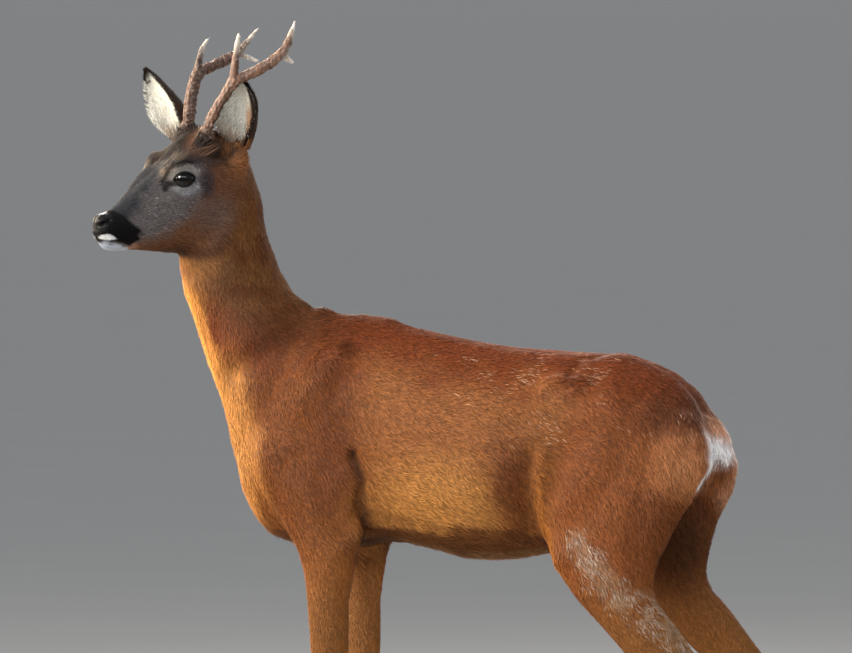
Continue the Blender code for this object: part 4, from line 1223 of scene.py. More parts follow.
for side, sign in sideSign.items():
    nodes = [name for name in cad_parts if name.startswith(f"antler_{side}")]
    antler = remeshed(joinedNodes(f"antler_{side}", nodes, antlerLook["swell"]), antlerLook["voxel"])
    mesh = antler.data
    points = relaxed(readPoints(mesh), readEdges(mesh), antlerLook["smoothing"])
    # heights are shares of the beam's
    low, high = (np.array(tuple(corner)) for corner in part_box(f"antler_{side}_beam"))
    middle = 0.5 * (low + high)
    rise = (points[:, 2] - low[2]) / (high[2] - low[2])
    bow = (0.44 + 0.56 * smoothStep(rise, 0.1, 0.62)) * fade(rise, 0.72, 1.12)
    points = points + antlerLook["bowWay"] * (antlerLook["bow"][side] * bow)[:, None]
    head = toHead(points)
    narrow = antlerLook["coronetNarrowing"] * fade(head[:, 2], 0.064, 0.078)
    head[:, :2] += (antlerLook["foot"] * np.array((1.0, -sign)) - head[:, :2]) * narrow[:, None]
    points = fromHead(head)
    writePoints(mesh, points)
    normals = readNormals(mesh)
    growth = antlerLook["beamGrowth"][side] * smoothStep(rise, 0.02, 0.16) * fade(rise, 0.75, 1.05)
    growth -= antlerLook["tineThinning"][side] * smoothStep(rise, 1.02, 1.25)
    points = points + normals * growth[:, None]
    # pearls and grooves
    turn = np.random.default_rng(61 if side == "left" else 67)
    facing = normals @ unit(np.array((0.75, -0.55 * sign, 0.0)))     # rear and inner side
    weight = smoothStep(facing, -0.55, 0.45) * fade(rise, 1.0, 1.75) + 0.25 * (rise < 0.5)
    chosen = turn.choice(len(points), antlerLook["pearls"], replace=False, p=weight / weight.sum())
    crown = np.flatnonzero((rise < 0.1) & (rise > -0.02) & (np.abs(normals[:, 2]) < 0.8))
    chosen = np.concatenate((chosen, turn.choice(crown, antlerLook["crownPearls"], replace=False)))
    sizes = turn.uniform(*antlerLook["pearlSize"], len(chosen))
    rises = turn.uniform(*antlerLook["pearlRise"], len(chosen))
    for values in (sizes, rises):
        values[-antlerLook["crownPearls"]:] *= antlerLook["crownSwell"]
    pearl = np.zeros(len(points))
    for index, size, height in zip(chosen, sizes, rises):
        gap = np.linalg.norm(points - points[index], axis=1)
        pearl = np.maximum(pearl, height * np.exp(-(gap / size) ** 2))
    ridges = fuzz(points * (1.0, 1.0, 0.1), 0.0024, 71) - 0.5
    roughness = fuzz(points, 0.0035, 73) - 0.5
    groove = antlerLook["groove"] * ridges * 2.0 * fade(rise, 1.6, 2.3) + 0.0004 * roughness
    writePoints(mesh, points + normals * (pearl + groove)[:, None])
    # colours: painted light on the front and outer side, painted shade behind and inside, a darker base, and
    # each tine polished towards its tip
    tips = []
    for name in nodes:
        if name.endswith("tine"):
            box = [np.array(tuple(corner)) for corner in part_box(name)]
            near = points[np.all((points > box[0] - 0.001) & (points < box[1] + 0.001), axis=1)]
            tips.append(near[np.argmax(np.linalg.norm(near - middle, axis=1))])
    toTip = np.min([np.linalg.norm(points - tip, axis=1) for tip in tips], axis=0)
    tints = np.tile(antlerLook["brown"], (len(points), 1))
    # painted light on the front and outer side
    pale = smoothStep(-facing + 0.6 * roughness, 0.1, 0.9) * smoothStep(rise, 0.25, 1.0) * 0.75
    tints += (antlerLook["pale"] - tints) * pale[:, None]
    # painted shade behind and inside; the base is darker too
    dark = smoothStep(facing + 0.5 * roughness, -0.1, 0.7) * fade(rise, 1.1, 2.0) * 0.8
    dark = np.maximum(dark, 0.85 * fade(rise, 0.04, 0.3))
    tints += (antlerLook["dark"] - tints) * dark[:, None]
    tints += (antlerLook["pale"] * 0.8 - tints) * (0.38 * smoothStep(pearl, 0.0004, 0.0013))[:, None]
    tints *= (1.0 + 1.3 * np.minimum(ridges, 0.0) + 0.5 * np.maximum(ridges, 0.0))[:, None]
    tipShare = fade(toTip, *antlerLook["tipReach"])
    tints += (antlerLook["tip"] - tints) * tipShare[:, None]
    storeColour(mesh, "tint", tints)
    mesh.shade_smooth()
    antler.name = f"antlers_{side}"
    place(antler, antlerFinish, "antler", *nodes)
print("antlers: done")

# Claws
hoofLook = {
    "voxel": 0.0011,
    "smoothing": 7,
    "ripple": 0.0004,       # depth of the growth rings
    "lowest": {"claw": 0.0, "dewclaw": 0.05},
    "colours": (paint(28, 22, 20), paint(74, 60, 52)),
}
hoofFinish = Finish("horn", {"Roughness": 0.45, "Specular IOR Level": 0.5})
rings = hoofFinish.noise(420.0, 3.0, hoofFinish.stretched((0.25, 0.25, 1.0)))
hoofFinish.feed({
    "Base Color": hoofFinish.mix(rings.step(0.25, 0.75), *(opaque(colour) for colour in hoofLook["colours"])),
    "Roughness": rings * 0.3 + 0.32,
    "Normal": hoofFinish.bump(rings * 0.001, 1.0, 0.7),
})
for end, side, kind in product(("fore", "hind"), sideSign, hoofLook["lowest"]):
    nodes = [f"{kind}_{end}_{side}_{half}" for half in ("inner", "outer")]
    claws = remeshed(joinedNodes(f"{kind}s_{end}_{side}", nodes, 0.0), hoofLook["voxel"])
    mesh = claws.data
    smoothed(mesh, hoofLook["smoothing"])
    points = readPoints(mesh)
    ripple = fuzz(points * (0.3, 0.3, 1.0), 0.002, 77) - 0.5
    points += readNormals(mesh) * (hoofLook["ripple"] * ripple)[:, None]
    points[:, 2] = np.maximum(points[:, 2], hoofLook["lowest"][kind])
    writePoints(mesh, points)
    mesh.shade_smooth()
    place(claws, hoofFinish, "hoof", *nodes)
print("claws: done")

# Hair: each guide says, for places near it, which way the hair lies, then its length and breadth in millimetres
# and how far its tip stands off
coatMaking = {
    "reach": (0.03, 0.011),         # how softly the guides on body and head blend
    "yaw": 11.0,                    # degrees that one tuft strays from the next
    "swirl": 16.0,
    "sunk": 0.0004,
    "strays": 0.07,
    "paleHairs": 0.24,
    "palest": paint(222, 182, 152),
    "lightness": 0.24,
    "patch": 0.003,                 # size of each tuft on its bake map
    "moult": (0.75, 0.6),           # share of the thigh's hairs that turned grey, and how far
    "pepper": (0.36, 0.35),         # how much the face's hairs differ, and the share of browner ones
    "hornHair": (0.0125, 0.95),     # length and lift round the antlers
    "shorter": 0.45,                # how much shorter round the eyes and the ears
}
bodyComb = (
    ((-0.12, 0.02, 0.7), (1.0, 0.1, -0.15), 9.8, 1.16, 0.07),
    ((0.05, 0.03, 0.675), (1.0, 0.1, -0.05), 9.8, 1.25, 0.06),
    ((0.2, 0.03, 0.665), (1.0, 0.15, -0.1), 10.5, 1.25, 0.07),
    ((0.29, 0.03, 0.64), (1.0, 0.1, -0.6), 11.2, 1.25, 0.09),
    ((0.05, 0.09, 0.62), (1.0, 0.0, -0.35), 10.5, 1.29, 0.06),
    ((0.05, 0.098, 0.54), (1.0, 0.0, -0.45), 10.5, 1.29, 0.06),
    ((0.05, 0.09, 0.46), (1.0, 0.0, -0.25), 11.2, 1.29, 0.08),
    ((0.05, 0.03, 0.42), (1.0, 0.0, 0.0), 14, 1.12, 0.14),
    ((-0.13, 0.075, 0.6), (0.6, 0.0, -0.8), 9.1, 1.16, 0.05),
    ((-0.2, 0.05, 0.53), (0.5, 0.2, -0.85), 9.8, 1.16, 0.08),
    ((-0.08, 0.08, 0.46), (0.6, 0.0, -0.8), 9.1, 1.16, 0.07),
    ((-0.24, 0.01, 0.52), (0.25, 0.15, -1.0), 11.9, 1.12, 0.14),
    ((-0.12, 0.01, 0.43), (0.9, 0.0, -0.3), 12.6, 1.12, 0.14),
    ((0.2, 0.09, 0.6), (0.9, 0.0, -0.5), 9.8, 1.29, 0.06),
    ((0.22, 0.09, 0.5), (0.65, 0.0, -0.8), 9.8, 1.29, 0.06),
    ((0.3, 0.06, 0.5), (0.4, 0.0, -1.0), 10.5, 1.25, 0.08),
    ((0.18, 0.08, 0.43), (0.5, 0.0, -0.85), 9.8, 1.2, 0.07),
    ((0.13, 0.09, 0.47), (0.6, 0.0, -0.8), 11.2, 1.16, 0.1),
    ((0.34, 0.03, 0.58), (0.35, 0.25, -0.95), 11, 1.2, 0.1),
    ((0.355, 0.02, 0.53), (0.15, 0.25, -1.0), 12, 1.2, 0.11),
    ((0.28, 0.07, 0.35), (0.6, 0.0, -0.8), 8.4, 1.03, 0.07),
    ((0.35, 0.066, 0.26), (0.1, 0.0, -1.0), 7.65, 0.86, 0.06),
    ((0.33, 0.076, 0.15), (0.0, 0.0, -1.0), 5.95, 0.77, 0.05),
    ((0.31, 0.076, 0.06), (-0.25, 0.0, -1.0), 5.95, 0.77, 0.08),
    ((-0.1, 0.07, 0.38), (0.15, 0.0, -1.0), 7.7, 1.03, 0.06),
    ((-0.1, 0.065, 0.25), (0.0, 0.0, -1.0), 6.8, 0.86, 0.05),
    ((-0.1, 0.072, 0.15), (0.0, 0.0, -1.0), 5.95, 0.77, 0.05),
    ((-0.12, 0.072, 0.06), (-0.25, 0.0, -1.0), 5.95, 0.77, 0.08),
    ((-0.17, 0.04, 0.7), (0.8, 0.1, -0.5), 9.8, 1.12, 0.07),
    ((-0.2, 0.05, 0.66), (0.5, 0.0, -0.9), 9.1, 1.07, 0.06),
    ((-0.24, 0.035, 0.64), (0.25, 0.05, -1.0), 10.5, 1.03, 0.1),
    ((-0.2, 0.02, 0.78), (0.3, 0.05, -1.0), 9.8, 0.99, 0.08),
    ((-0.25, 0.04, 0.76), (0.15, 0.1, -1.0), 8.4, 0.9, 0.07),
    ((-0.28, 0.015, 0.74), (-0.05, 0.1, -1.0), 10.5, 0.95, 0.11),
)
headComb = (
    ((0.155, 0.0, -0.035), (-1.0, 0.0, 0.35), 2.0, 0.5, 0.1),
    ((0.12, 0.0, -0.01), (-1.0, 0.0, 0.6), 4.0, 0.55, 0.1),
    ((0.145, 0.015, -0.07), (-1.0, 0.15, -0.15), 2.6, 0.5, 0.14),
    ((0.15, 0.005, -0.085), (-0.9, 0.1, -0.4), 4.0, 0.5, 0.2),
    ((0.12, 0.02, -0.05), (-1.0, 0.2, 0.05), 4.2, 0.6, 0.09),
    ((0.095, 0.03, -0.03), (-1.0, 0.15, -0.05), 5.0, 0.65, 0.09),
    ((0.06, 0.045, -0.045), (-1.0, 0.1, -0.35), 7.0, 0.8, 0.08),
    ((0.08, 0.025, -0.085), (-1.0, 0.0, -0.1), 8.0, 0.8, 0.14),
    ((0.03, 0.04, -0.08), (-1.0, 0.0, -0.45), 9.0, 0.9, 0.12),
    ((0.09, 0.036, -0.008), (-0.9, 0.1, -0.55), 3.0, 0.5, 0.12),
    ((0.085, 0.032, 0.014), (-0.9, 0.0, 0.75), 3.4, 0.5, 0.14),
    ((0.064, 0.042, 0.02), (-1.0, 0.0, 0.25), 3.4, 0.5, 0.14),
    ((0.045, 0.046, 0.006), (-1.0, 0.0, -0.1), 4.0, 0.6, 0.12),
    ((0.064, 0.044, -0.014), (-1.0, 0.0, -0.45), 3.2, 0.5, 0.12),
    ((0.04, 0.048, -0.01), (-1.0, 0.0, -0.2), 5.5, 0.7, 0.1),
    ((0.085, 0.008, 0.03), (-0.75, 0.0, 0.65), 6.0, 0.7, 0.14),
    ((0.06, 0.015, 0.05), (-0.7, 0.0, 0.6), 7.0, 0.75, 0.18),
    ((0.04, 0.03, 0.04), (-0.6, 0.1, 0.6), 7.0, 0.75, 0.2),
    ((0.02, 0.0, 0.06), (-1.0, 0.0, 0.25), 13.0, 0.95, 0.22),
    ((0.015, 0.04, 0.045), (-0.7, 0.3, 0.45), 11.0, 0.9, 0.26),
    ((0.01, 0.048, 0.01), (-0.9, 0.1, -0.2), 9.0, 0.9, 0.12),
    ((-0.03, 0.0, 0.03), (-0.6, 0.0, -0.8), 13.0, 1.0, 0.12),
    ((-0.02, 0.045, -0.03), (-0.6, 0.0, -0.8), 11.0, 1.0, 0.1),
)


def guided(places, comb, reach):
    # blends the guides by nearness: direction, length, breadth, lift
    spots = np.array([row[0] for row in comb])
    values = np.array([(*unit(np.array(row[1])), *row[2:]) for row in comb])
    result = np.empty((len(places), 6))
    for start in range(0, len(places), 40000):
        part = places[start:start + 40000]
        gap = ((part[:, None] - spots) ** 2).sum(axis=2) + reach ** 2
        weight = gap ** -2.5
        result[start:start + 40000] = weight @ values / weight.sum(axis=1, keepdims=True)
    return result


def combed(points, normals):
    body, head = toBody(points), toHead(points)
    low = guided(foldedSides(body), bodyComb, coatMaking["reach"][0])
    high = guided(foldedSides(head), headComb, coatMaking["reach"][1])
    # the far hind foot stands further back, so hair low on the legs only runs down
    legs = fade(body[:, 2], 0.16, 0.24)[:, None]
    low[:, :3] += ((-0.05, 0.0, -1.0) - low[:, :3]) * legs
    for values, places in ((low, body), (high, head)):
        values[:, 1] *= np.sign(places[:, 1]) * smoothStep(np.abs(places[:, 1]), 0.0, 0.012)
    high[:, :3] = high[:, :3] @ headAxes
    share = headShare(points)[:, None]
    mixed = low * (1.0 - share) + high * share
    return alongSurface(mixed[:, :3], normals), mixed[:, 3] * 0.001, mixed[:, 4] * 0.001, mixed[:, 5]


def tuftMesh(name, roots, normals, ways, lengths, breadths, lifts, tints, patches, chance):
    # a tuft is a roof-shaped blade: three points at its root, three half way, and its tip
    size = len(roots)
    yaw = np.radians(coatMaking["yaw"]) * chance.normal(size=size)
    yaw += np.radians(coatMaking["swirl"]) * 2.0 * (fuzz(roots, 0.035, 91) - 0.5)
    across = np.cross(normals, ways)
    ways = ways * np.cos(yaw)[:, None] + across * np.sin(yaw)[:, None]
    across = np.cross(normals, ways)
    lengths = lengths * chance.uniform(0.72, 1.25, size)
    breadths = breadths * chance.uniform(0.7, 1.25, size)
    stray = chance.random(size) < coatMaking["strays"]
    lifts = lifts * chance.uniform(0.4, 1.5, size) + stray * chance.uniform(0.05, 0.16, size)
    bend = chance.normal(scale=0.1, size=size)
    points = np.empty((size, 7, 3))
    for row, (along, wide) in enumerate(((0.0, 0.85), (0.5, 1.0))):
        rise = lengths * lifts * along * 1.25 - coatMaking["sunk"] * (1.0 - along)
        centre = roots + ways * (lengths * along)[:, None] + normals * rise[:, None]
        half = 0.5 * breadths * wide
        points[:, 3 * row] = centre - across * half[:, None]
        points[:, 3 * row + 1] = centre + normals * (0.45 * half)[:, None]
        points[:, 3 * row + 2] = centre + across * half[:, None]
    tips = roots + ways * lengths[:, None] + across * (lengths * bend)[:, None]
    points[:, 6] = tips + normals * (lengths * lifts)[:, None]
    pattern = np.array(((0, 4, 1), (0, 3, 4), (1, 5, 2), (1, 4, 5), (3, 6, 4), (4, 6, 5)))
    faces = (np.arange(size)[:, None, None] * 7 + pattern).reshape(-1, 3)
    # darker at the root, lighter at the tip
    light = 1.0 + coatMaking["lightness"] * chance.normal(size=size).clip(-1.8, 1.8)
    shades = light[:, None] * np.array((0.58, 0.66, 0.58, 0.95, 1.05, 0.95, 1.15))
    colours = (tints[:, None] * shades[:, :, None]).reshape(-1, 3)
    mesh = fromArrays(name, points.reshape(-1, 3), faces)
    storeColour(mesh, "tint", np.clip(colours, 0.0, 1.0))
    # each tuft's own small patch of the bake map
    half = 0.5 * coatMaking["patch"]
    corners = half * np.array(((-1, -1), (0, -1), (1, -1), (-1, 0), (0, 0), (1, 0), (0, 1)))
    flat = (patches[:, None] + corners).reshape(-1, 2)[faces.ravel()]
    layer = mesh.uv_layers.new(name="OFBake")
    layer.uv.foreach_set("vector", flat.astype(np.float32).ravel())
    return mesh


def spread(values):
    # over 0.02 to 0.98
    return 0.02 + 0.96 * (values - values.min()) / max(np.ptp(values), 1e-6)


def unwrapped(points, axisStart, axisEnd, turnAxis):
    # along an axis, and the angle round it
    start, end = np.array(axisStart), np.array(axisEnd)
    axis = unit(end - start)
    first = acrossAxis(np.array(turnAxis), axis)
    second = np.cross(axis, first)
    away = points - start
    return np.stack((spread(away @ axis), spread(np.arctan2(away @ second, away @ first))), axis=1)


def fromHorn(head):
    # how far forward and out each place lies from the middle of its side's antler
    foot = np.where(head[:, 1:2] > 0, (0.0256, 0.0269), antlerLook["foot"])
    return foldedSides(head)[:, :2] - foot


coatFinish = Finish("deerHair", {"Roughness": 0.58, "Specular IOR Level": 0.1})
coatTone = coatFinish.noise(420.0, 2.0).step(0.25, 0.75) * 0.16 + 0.92
coatFinish.feed({"Base Color": coatFinish.shade(coatFinish.attribute("tint", "Color"), coatTone)})

# Coat: tufts strewn over the skin
mesh = skin.data
mesh.calc_loop_triangles()
triangles = np.empty(len(mesh.loop_triangles) * 3, np.int32)
mesh.loop_triangles.foreach_get("vertices", triangles)
triangles = triangles.reshape(-1, 3)
points, normals = readPoints(mesh), readNormals(mesh)
corners = points[triangles]
areas = 0.5 * np.linalg.norm(np.cross(corners[:, 1] - corners[:, 0], corners[:, 2] - corners[:, 0]), axis=1)
centres = corners.mean(axis=1)
body, head = toBody(centres), toHead(centres)
folded = foldedSides(head)
share = headShare(centres)

# tufts on each square metre
coatDensity = {"trunk": 262e3, "neck": 340e3, "face": 560e3, "head": 330e3, "thigh": 225e3, "leg": 330e3}
density = np.full(len(centres), coatDensity["trunk"])
density += (coatDensity["thigh"] - density) * fade(body[:, 2], 0.38, 0.46)
density += (coatDensity["leg"] - density) * fade(body[:, 2], 0.22, 0.28)
density += (coatDensity["neck"] - density) * fade(body[:, 0], -0.2, -0.17)
face = coatDensity["head"] + (coatDensity["face"] - coatDensity["head"]) * smoothStep(folded[:, 0], 0.03, 0.06)
density += (face - density) * share

# no hair on the nose, in the eyes, along the mouth, under the coronets and in the claws; the ears get their own
bareSkin = {"lids": 0.0016, "eyes": 0.0008, "mouth": 0.0011, "coronets": 0.0115, "claws": 0.012}
bald = (noseShare(centres) > 0.4) | (onEar[triangles].mean(axis=1) > 0.5)
bald |= (edgeGap(folded) < bareSkin["lids"]) | (eyeGap(centres) < eyeRadius + bareSkin["eyes"])
bald |= (lineGap(folded, mouthLine) < bareSkin["mouth"]) & (share > 0.5)
bald |= (np.linalg.norm(fromHorn(head), axis=1) < bareSkin["coronets"]) & (folded[:, 2] > 0.04)
bald |= centres[:, 2] < bareSkin["claws"]
density[bald] = 0.0

chance = np.random.default_rng(41)
wanted = np.cumsum(areas * density)
picks = np.arange(int(wanted[-1])) + chance.random(int(wanted[-1]))
chosen = np.searchsorted(wanted, picks).clip(0, len(areas) - 1)
chosen = chosen[density[chosen] > 0]
first, second = chance.random(len(chosen)), chance.random(len(chosen))
over = first + second > 1.0
first[over], second[over] = 1.0 - first[over], 1.0 - second[over]
weights = np.stack((1.0 - first - second, first, second), axis=1)[:, :, None]
roots = (points[triangles[chosen]] * weights).sum(axis=1)
rootNormals = unit((normals[triangles[chosen]] * weights).sum(axis=1))
skinTints = np.empty(len(points) * 4, np.float32)
mesh.attributes["tint"].data.foreach_get("color", skinTints)
skinTints = skinTints.reshape(-1, 4)[:, :3] / underHair
rootTints = (skinTints[triangles[chosen]] * weights).sum(axis=1)
ways, lengths, breadths, lifts = combed(roots, rootNormals)
body, head, share = toBody(roots), toHead(roots), headShare(roots)

# the hair stands up round the antlers and is shorter round the eyes
horned = fromHorn(head)
nearHorn = fade(np.linalg.norm(horned, axis=1), 0.015, 0.026) * (head[:, 2] > 0.028)
inward = np.column_stack((-horned, np.zeros(len(roots))))
inward[:, 1] *= np.sign(head[:, 1])
ways = alongSurface(ways + unit(inward @ headAxes) * (2.5 * nearHorn)[:, None], rootNormals)
lengths += (coatMaking["hornHair"][0] - lengths) * nearHorn
lifts += (coatMaking["hornHair"][1] - lifts) * nearHorn
lengths *= 1.0 - coatMaking["shorter"] * fade(edgeGap(foldedSides(head)), 0.002, 0.008) * (share > 0.5)

# pale hairs on the croup, grey ones down the thigh
patchy = smoothStep(fuzz(roots, 0.022, 93), 0.5, 0.85)
croup = smoothStep(body[:, 2], 0.54, 0.63) * smoothStep(body[:, 0], -0.02, 0.16)
pale = chance.random(len(roots)) < coatMaking["paleHairs"] * patchy * croup
rootTints[pale] = rootTints[pale] * 0.68 + coatMaking["palest"] * 0.32
moult = fade(lineGap(body[:, (0, 2)], (*moultLine, (0.35, 0.29))), 0.004, 0.03)
moult *= smoothStep(fuzz(roots, 0.01, 11), 0.15, 0.75) * (body[:, 2] < 0.47) * (share < 0.5)
moult *= smoothStep(rootNormals[:, 1] * np.sign(body[:, 1]), -0.1, 0.4)
often, far = coatMaking["moult"]
grey = chance.random(len(roots)) < often * moult
rootTints[grey] = rootTints[grey] * (1.0 - far) + coatColours["moult"] * far

# salt and pepper on the grey of the face
brightest = rootTints.max(axis=1)
colourful = np.ptp(rootTints, axis=1) / np.maximum(brightest, 1e-4)
speckled = share * fade(colourful, 0.3, 0.55) * fade(brightest, 0.3, 0.45)
differing, browner = coatMaking["pepper"]
rootTints *= np.exp(chance.normal(scale=differing, size=len(roots)) * speckled)[:, None]
brownish = (chance.random(len(roots)) < browner * speckled)[:, None]
rootTints = np.where(brownish, rootTints * (1.1, 0.99, 0.86), rootTints)

# pale hair in the mouth of each ear, and shorter hair climbing its root
for side, sign in sideSign.items():
    earRoot, tip, opening = (np.array(row) for row in earShape[side])
    axis = unit(tip - earRoot)
    opening = acrossAxis(opening, axis)
    away = head * (1.0, -sign, 1.0) - (earRoot + 0.012 * axis)
    inCup = fade(np.linalg.norm(away, axis=1), 0.015, 0.024) * smoothStep(away @ opening, -0.002, 0.006)
    inCup *= smoothStep(away @ axis, -0.012, 0.0) * (share > 0.5)
    paleCup = (chance.random(len(roots)) < 0.75 * inCup)[:, None]
    rootTints = np.where(paleCup, coatColours["earFold"] * chance.uniform(0.5, 1.2, (len(roots), 1)), rootTints)
    earward = fade(np.linalg.norm(away, axis=1), 0.02, 0.034)
    lengths *= 1.0 - coatMaking["shorter"] * earward
    upward = unit(axis * (1.0, -sign, 1.0) @ headAxes)
    ways = alongSurface(ways + upward * (1.6 * earward)[:, None], rootNormals)

# pieces: which tufts, the axis of their bake map, and their slot
onHead, onNeck = share > 0.5, (share <= 0.5) & (body[:, 0] < -0.195) & (body[:, 2] > 0.4)
onLeg = (share <= 0.5) & (body[:, 2] < 0.415) & ~onNeck
trunk = ~(onHead | onNeck | onLeg)
front, foreLeg, leftSide = body[:, 0] < 0.055, body[:, 0] < 0.04, body[:, 1] < 0
spine = ((-0.2, 0.0, 0.54), (0.37, 0.0, 0.54))
coatPieces = {
    "coat_shoulder_left": (trunk & front & leftSide, spine, "coat"),
    "coat_shoulder_right": (trunk & front & ~leftSide, spine, "coat"),
    "coat_haunch_left": (trunk & ~front & leftSide, spine, "coat"),
    "coat_haunch_right": (trunk & ~front & ~leftSide, spine, "coat"),
    "coat_neck": (onNeck, ((-0.22, 0.0, 0.5), (-0.25, 0.0, 0.85)), "coat"),
    "coat_head": (onHead, ((-0.22, 0.0, 0.9), (-0.34, -0.1, 0.84)), "face"),
    "coat_fore_legs": (onLeg & foreLeg, ((-0.1, 0.0, 0.0), (-0.1, 0.0, 0.42)), "coat"),
    "coat_hind_leg_left": (onLeg & ~foreLeg & leftSide, ((0.29, -0.07, 0.0), (0.26, -0.07, 0.42)), "coat"),
    "coat_hind_leg_right": (onLeg & ~foreLeg & ~leftSide, ((0.32, 0.07, 0.0), (0.27, 0.07, 0.42)), "coat"),
}
for name, (inside, (start, end), slot) in coatPieces.items():
    index = np.flatnonzero(inside)
    turnAxis = (0.1, 0.2, 1.0) if start == spine[0] else (0.0, 1.0, 0.1)
    patches = unwrapped(body[index], start, end, turnAxis)
    rows = [row[index] for row in (roots, rootNormals, ways, lengths, breadths, lifts, rootTints)]
    place(newObject(name, tuftMesh(name, *rows, patches, chance)), coatFinish, slot)
    print(name, len(index), "tufts")

# Ears: short hair behind, long pale hair from the cup, a fringe on the rim
earCoat = {
    "backTufts": 3900,
    "cupTufts": 2300,
    "fringeTufts": 1150,
    "backLength": (0.0035, 0.0058),
    "cupLength": (0.007, 0.015),
    "fringeLength": (0.003, 0.0065),
    "breadth": 0.00075,
}
for side in sideSign:
    chance = np.random.default_rng(83 if side == "left" else 89)
    rear = rearSign(side)
    batches = []
    for kind in ("back", "cup", "fringe"):
        size = earCoat[kind + "Tufts"]
        along = chance.permutation(0.06 + 0.93 * (np.arange(size) + chance.random(size)) / size)
        across = chance.uniform(-1.0, 1.0, size)
        if kind == "cup":
            across = np.sign(across) * np.abs(across) ** 0.6
            along = 0.05 + 0.88 * (along - 0.06)
        if kind == "fringe":
            across = np.sign(across) * (0.97 + 0.03 * chance.random(size))
        behind = kind == "back"
        wall = 0.5 * earWall(along, across) * (1.0 if behind else -1.0)
        step = 1e-3
        root = earPoint(along, across, side, wall)
        up = unit(earPoint(along + step, across, side, wall) - earPoint(along - step, across, side, wall))
        sideways = unit(earPoint(along, across + step, side, wall) - earPoint(along, across - step, side, wall))
        normal = unit(earPoint(along, across, side, wall + 1e-4) - root) * (1.0 if behind else -1.0)
        inner = np.full(size, 0.0 if behind else 1.0)
        tints = earTints(along, across * rear + rearBand[side], inner, chance.random(size) - 0.5)
        length = chance.uniform(*earCoat[kind + "Length"], size)
        way, lift, breadth = up, np.full(size, 0.1), np.full(size, earCoat["breadth"])
        if behind:
            way = up + sideways * (0.25 * np.sign(across))[:, None]
        if kind == "cup":
            way = up + sideways * (-0.35 * across)[:, None]
            lift = 0.12 + 0.22 * np.abs(across)
            length *= (0.55 + 0.45 * np.abs(across)) * (1.0 - 0.5 * along)
            dull = (chance.random(size) < 0.22)[:, None]
            tints = np.where(dull, tints * 0.6, tints)
        if kind == "fringe":
            way = unit(up * 0.9 + sideways * np.sign(across)[:, None])
            normal = alongSurface(normal, way)
            front = across * rear < 0
            paleHair = chance.random(size) < np.where(front, 0.85, 0.1) * smoothStep(along, 0.1, 0.3)
            tints = np.where(paleHair[:, None], coatColours["earInside"] * 0.95, coatColours["earEdge"])
            tints = np.where((along > 0.9)[:, None], coatColours["earEdge"] * 1.2, tints)
        way = alongSurface(way, normal)
        patches = np.stack((0.02 + 0.46 * along + (0.5 if behind else 0.0), 0.26 + 0.22 * across), axis=1)
        if kind == "fringe":
            patches[:, 1] += 0.5
        batches.append((root, normal, way, length, breadth, lift, tints, patches))
    joined = [np.concatenate(rows) for rows in zip(*batches)]
    name = f"coat_ear_{side}"
    place(newObject(name, tuftMesh(name, *joined, chance)), coatFinish, "ear")
print("hair on the ears: done")

# Stage, light and camera
viewing = {
    "azimuth": 18.0,        # degrees round to the animal's head
    "height": 2.0,          # degrees above level
    "distance": 12.0,
    "lens": 426.0,
    "aim": (0.0, 0.0, 0.6946),
}
target = Vector(standing) + Vector(viewing["aim"])
turn, rise = radians(viewing["azimuth"]), radians(viewing["height"])
back = Vector((sin(turn) * cos(rise), -cos(turn) * cos(rise), sin(rise)))
camera = bpy.data.objects.new("camera", bpy.data.cameras.new("camera"))
camera.data.lens = viewing["lens"]
camera.data.clip_end = 4000.0
bpy.context.scene.view_settings.view_transform = "Standard"
camera.location = target + back * viewing["distance"]
camera.rotation_euler = (-back).to_track_quat("-Z", "Y").to_euler()
bpy.context.scene.collection.objects.link(camera)
bpy.context.scene.camera = camera

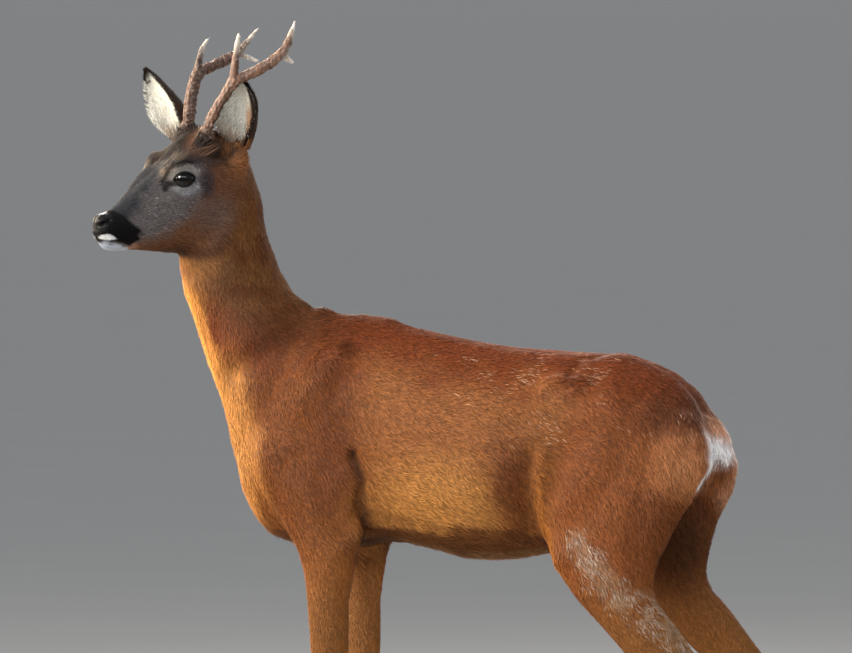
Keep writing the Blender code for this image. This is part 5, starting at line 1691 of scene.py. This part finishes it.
# lamps: where each stands from the animal's middle, its size, its strength and its colour
lamps = {
    "keyLamp": ((-3.0, -1.13, 1.3), 1.4, 190.0, (1.0, 0.88, 0.7)),
    "edgeLamp": ((-2.65, 1.03, 0.95), 1.6, 110.0, (1.0, 0.86, 0.68)),
    "rimLamp": ((-1.6, 2.6, 1.6), 0.8, 80.0, (1.0, 0.95, 0.86)),
    "fillLamp": ((0.4, -3.0, 1.45), (4.2, 0.3), 50.0, (1.0, 0.97, 0.92)),
    "catchLamp": ((-1.65, -2.97, 1.4), 0.9, 190.0, (1.0, 0.99, 0.97)),
    "topLamp": ((0.4, 0.8, 3.4), 2.6, 40.0, (0.96, 0.97, 1.0)),
    "farLamp": ((1.6, 3.0, 1.6), 2.6, 60.0, (1.0, 0.96, 0.9)),
}
for name, (offset, size, power, colour) in lamps.items():
    light = bpy.data.lights.new(name, "AREA")
    if isinstance(size, tuple):
        light.shape = "RECTANGLE"
        light.size, light.size_y = size
    else:
        light.size = size
    light.energy = power
    light.color = colour
    lamp = bpy.data.objects.new(name, light)
    lamp.visible_diffuse = name != "catchLamp"      # only a glint in the eyes and on the nose
    lamp.location = target + Vector(offset)
    lamp.rotation_euler = Vector(offset).to_track_quat("Z", "Y").to_euler()
    bpy.context.scene.collection.objects.link(lamp)

stageLook = {
    "air": (0.88, 0.9, 0.93, 1.0),
    "airStrength": 0.55,
    "floor": (0.4, 0.4, 0.395, 1.0),
    "floorReach": 900.0,
}
world = bpy.data.worlds.new("world")
bpy.context.scene.world = world
world.use_nodes = True
background = world.node_tree.nodes["Background"].inputs
background["Color"].default_value = stageLook["air"]
background["Strength"].default_value = stageLook["airStrength"]

floorFinish = Finish("paleFloor", {"Roughness": 0.9})
floorTone = floorFinish.noise(3.0, 3.0).step(0.2, 0.8) * 0.03 + 0.97
floorFinish.feed({"Base Color": floorFinish.shade(stageLook["floor"], floorTone)})
corners = np.array(((-1, -1, 0), (1, -1, 0), (1, 1, 0), (-1, 1, 0))) * stageLook["floorReach"]
floorMesh = fromArrays("floor", corners, np.array(((0, 1, 2, 3),)))
floorMesh.materials.append(floorFinish.material)
newObject("floor", floorMesh)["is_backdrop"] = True

sizes = {"cad": [list(corner) for corner in cadBox], "visual": [list(corner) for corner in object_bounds()]}
print("roe deer: done")
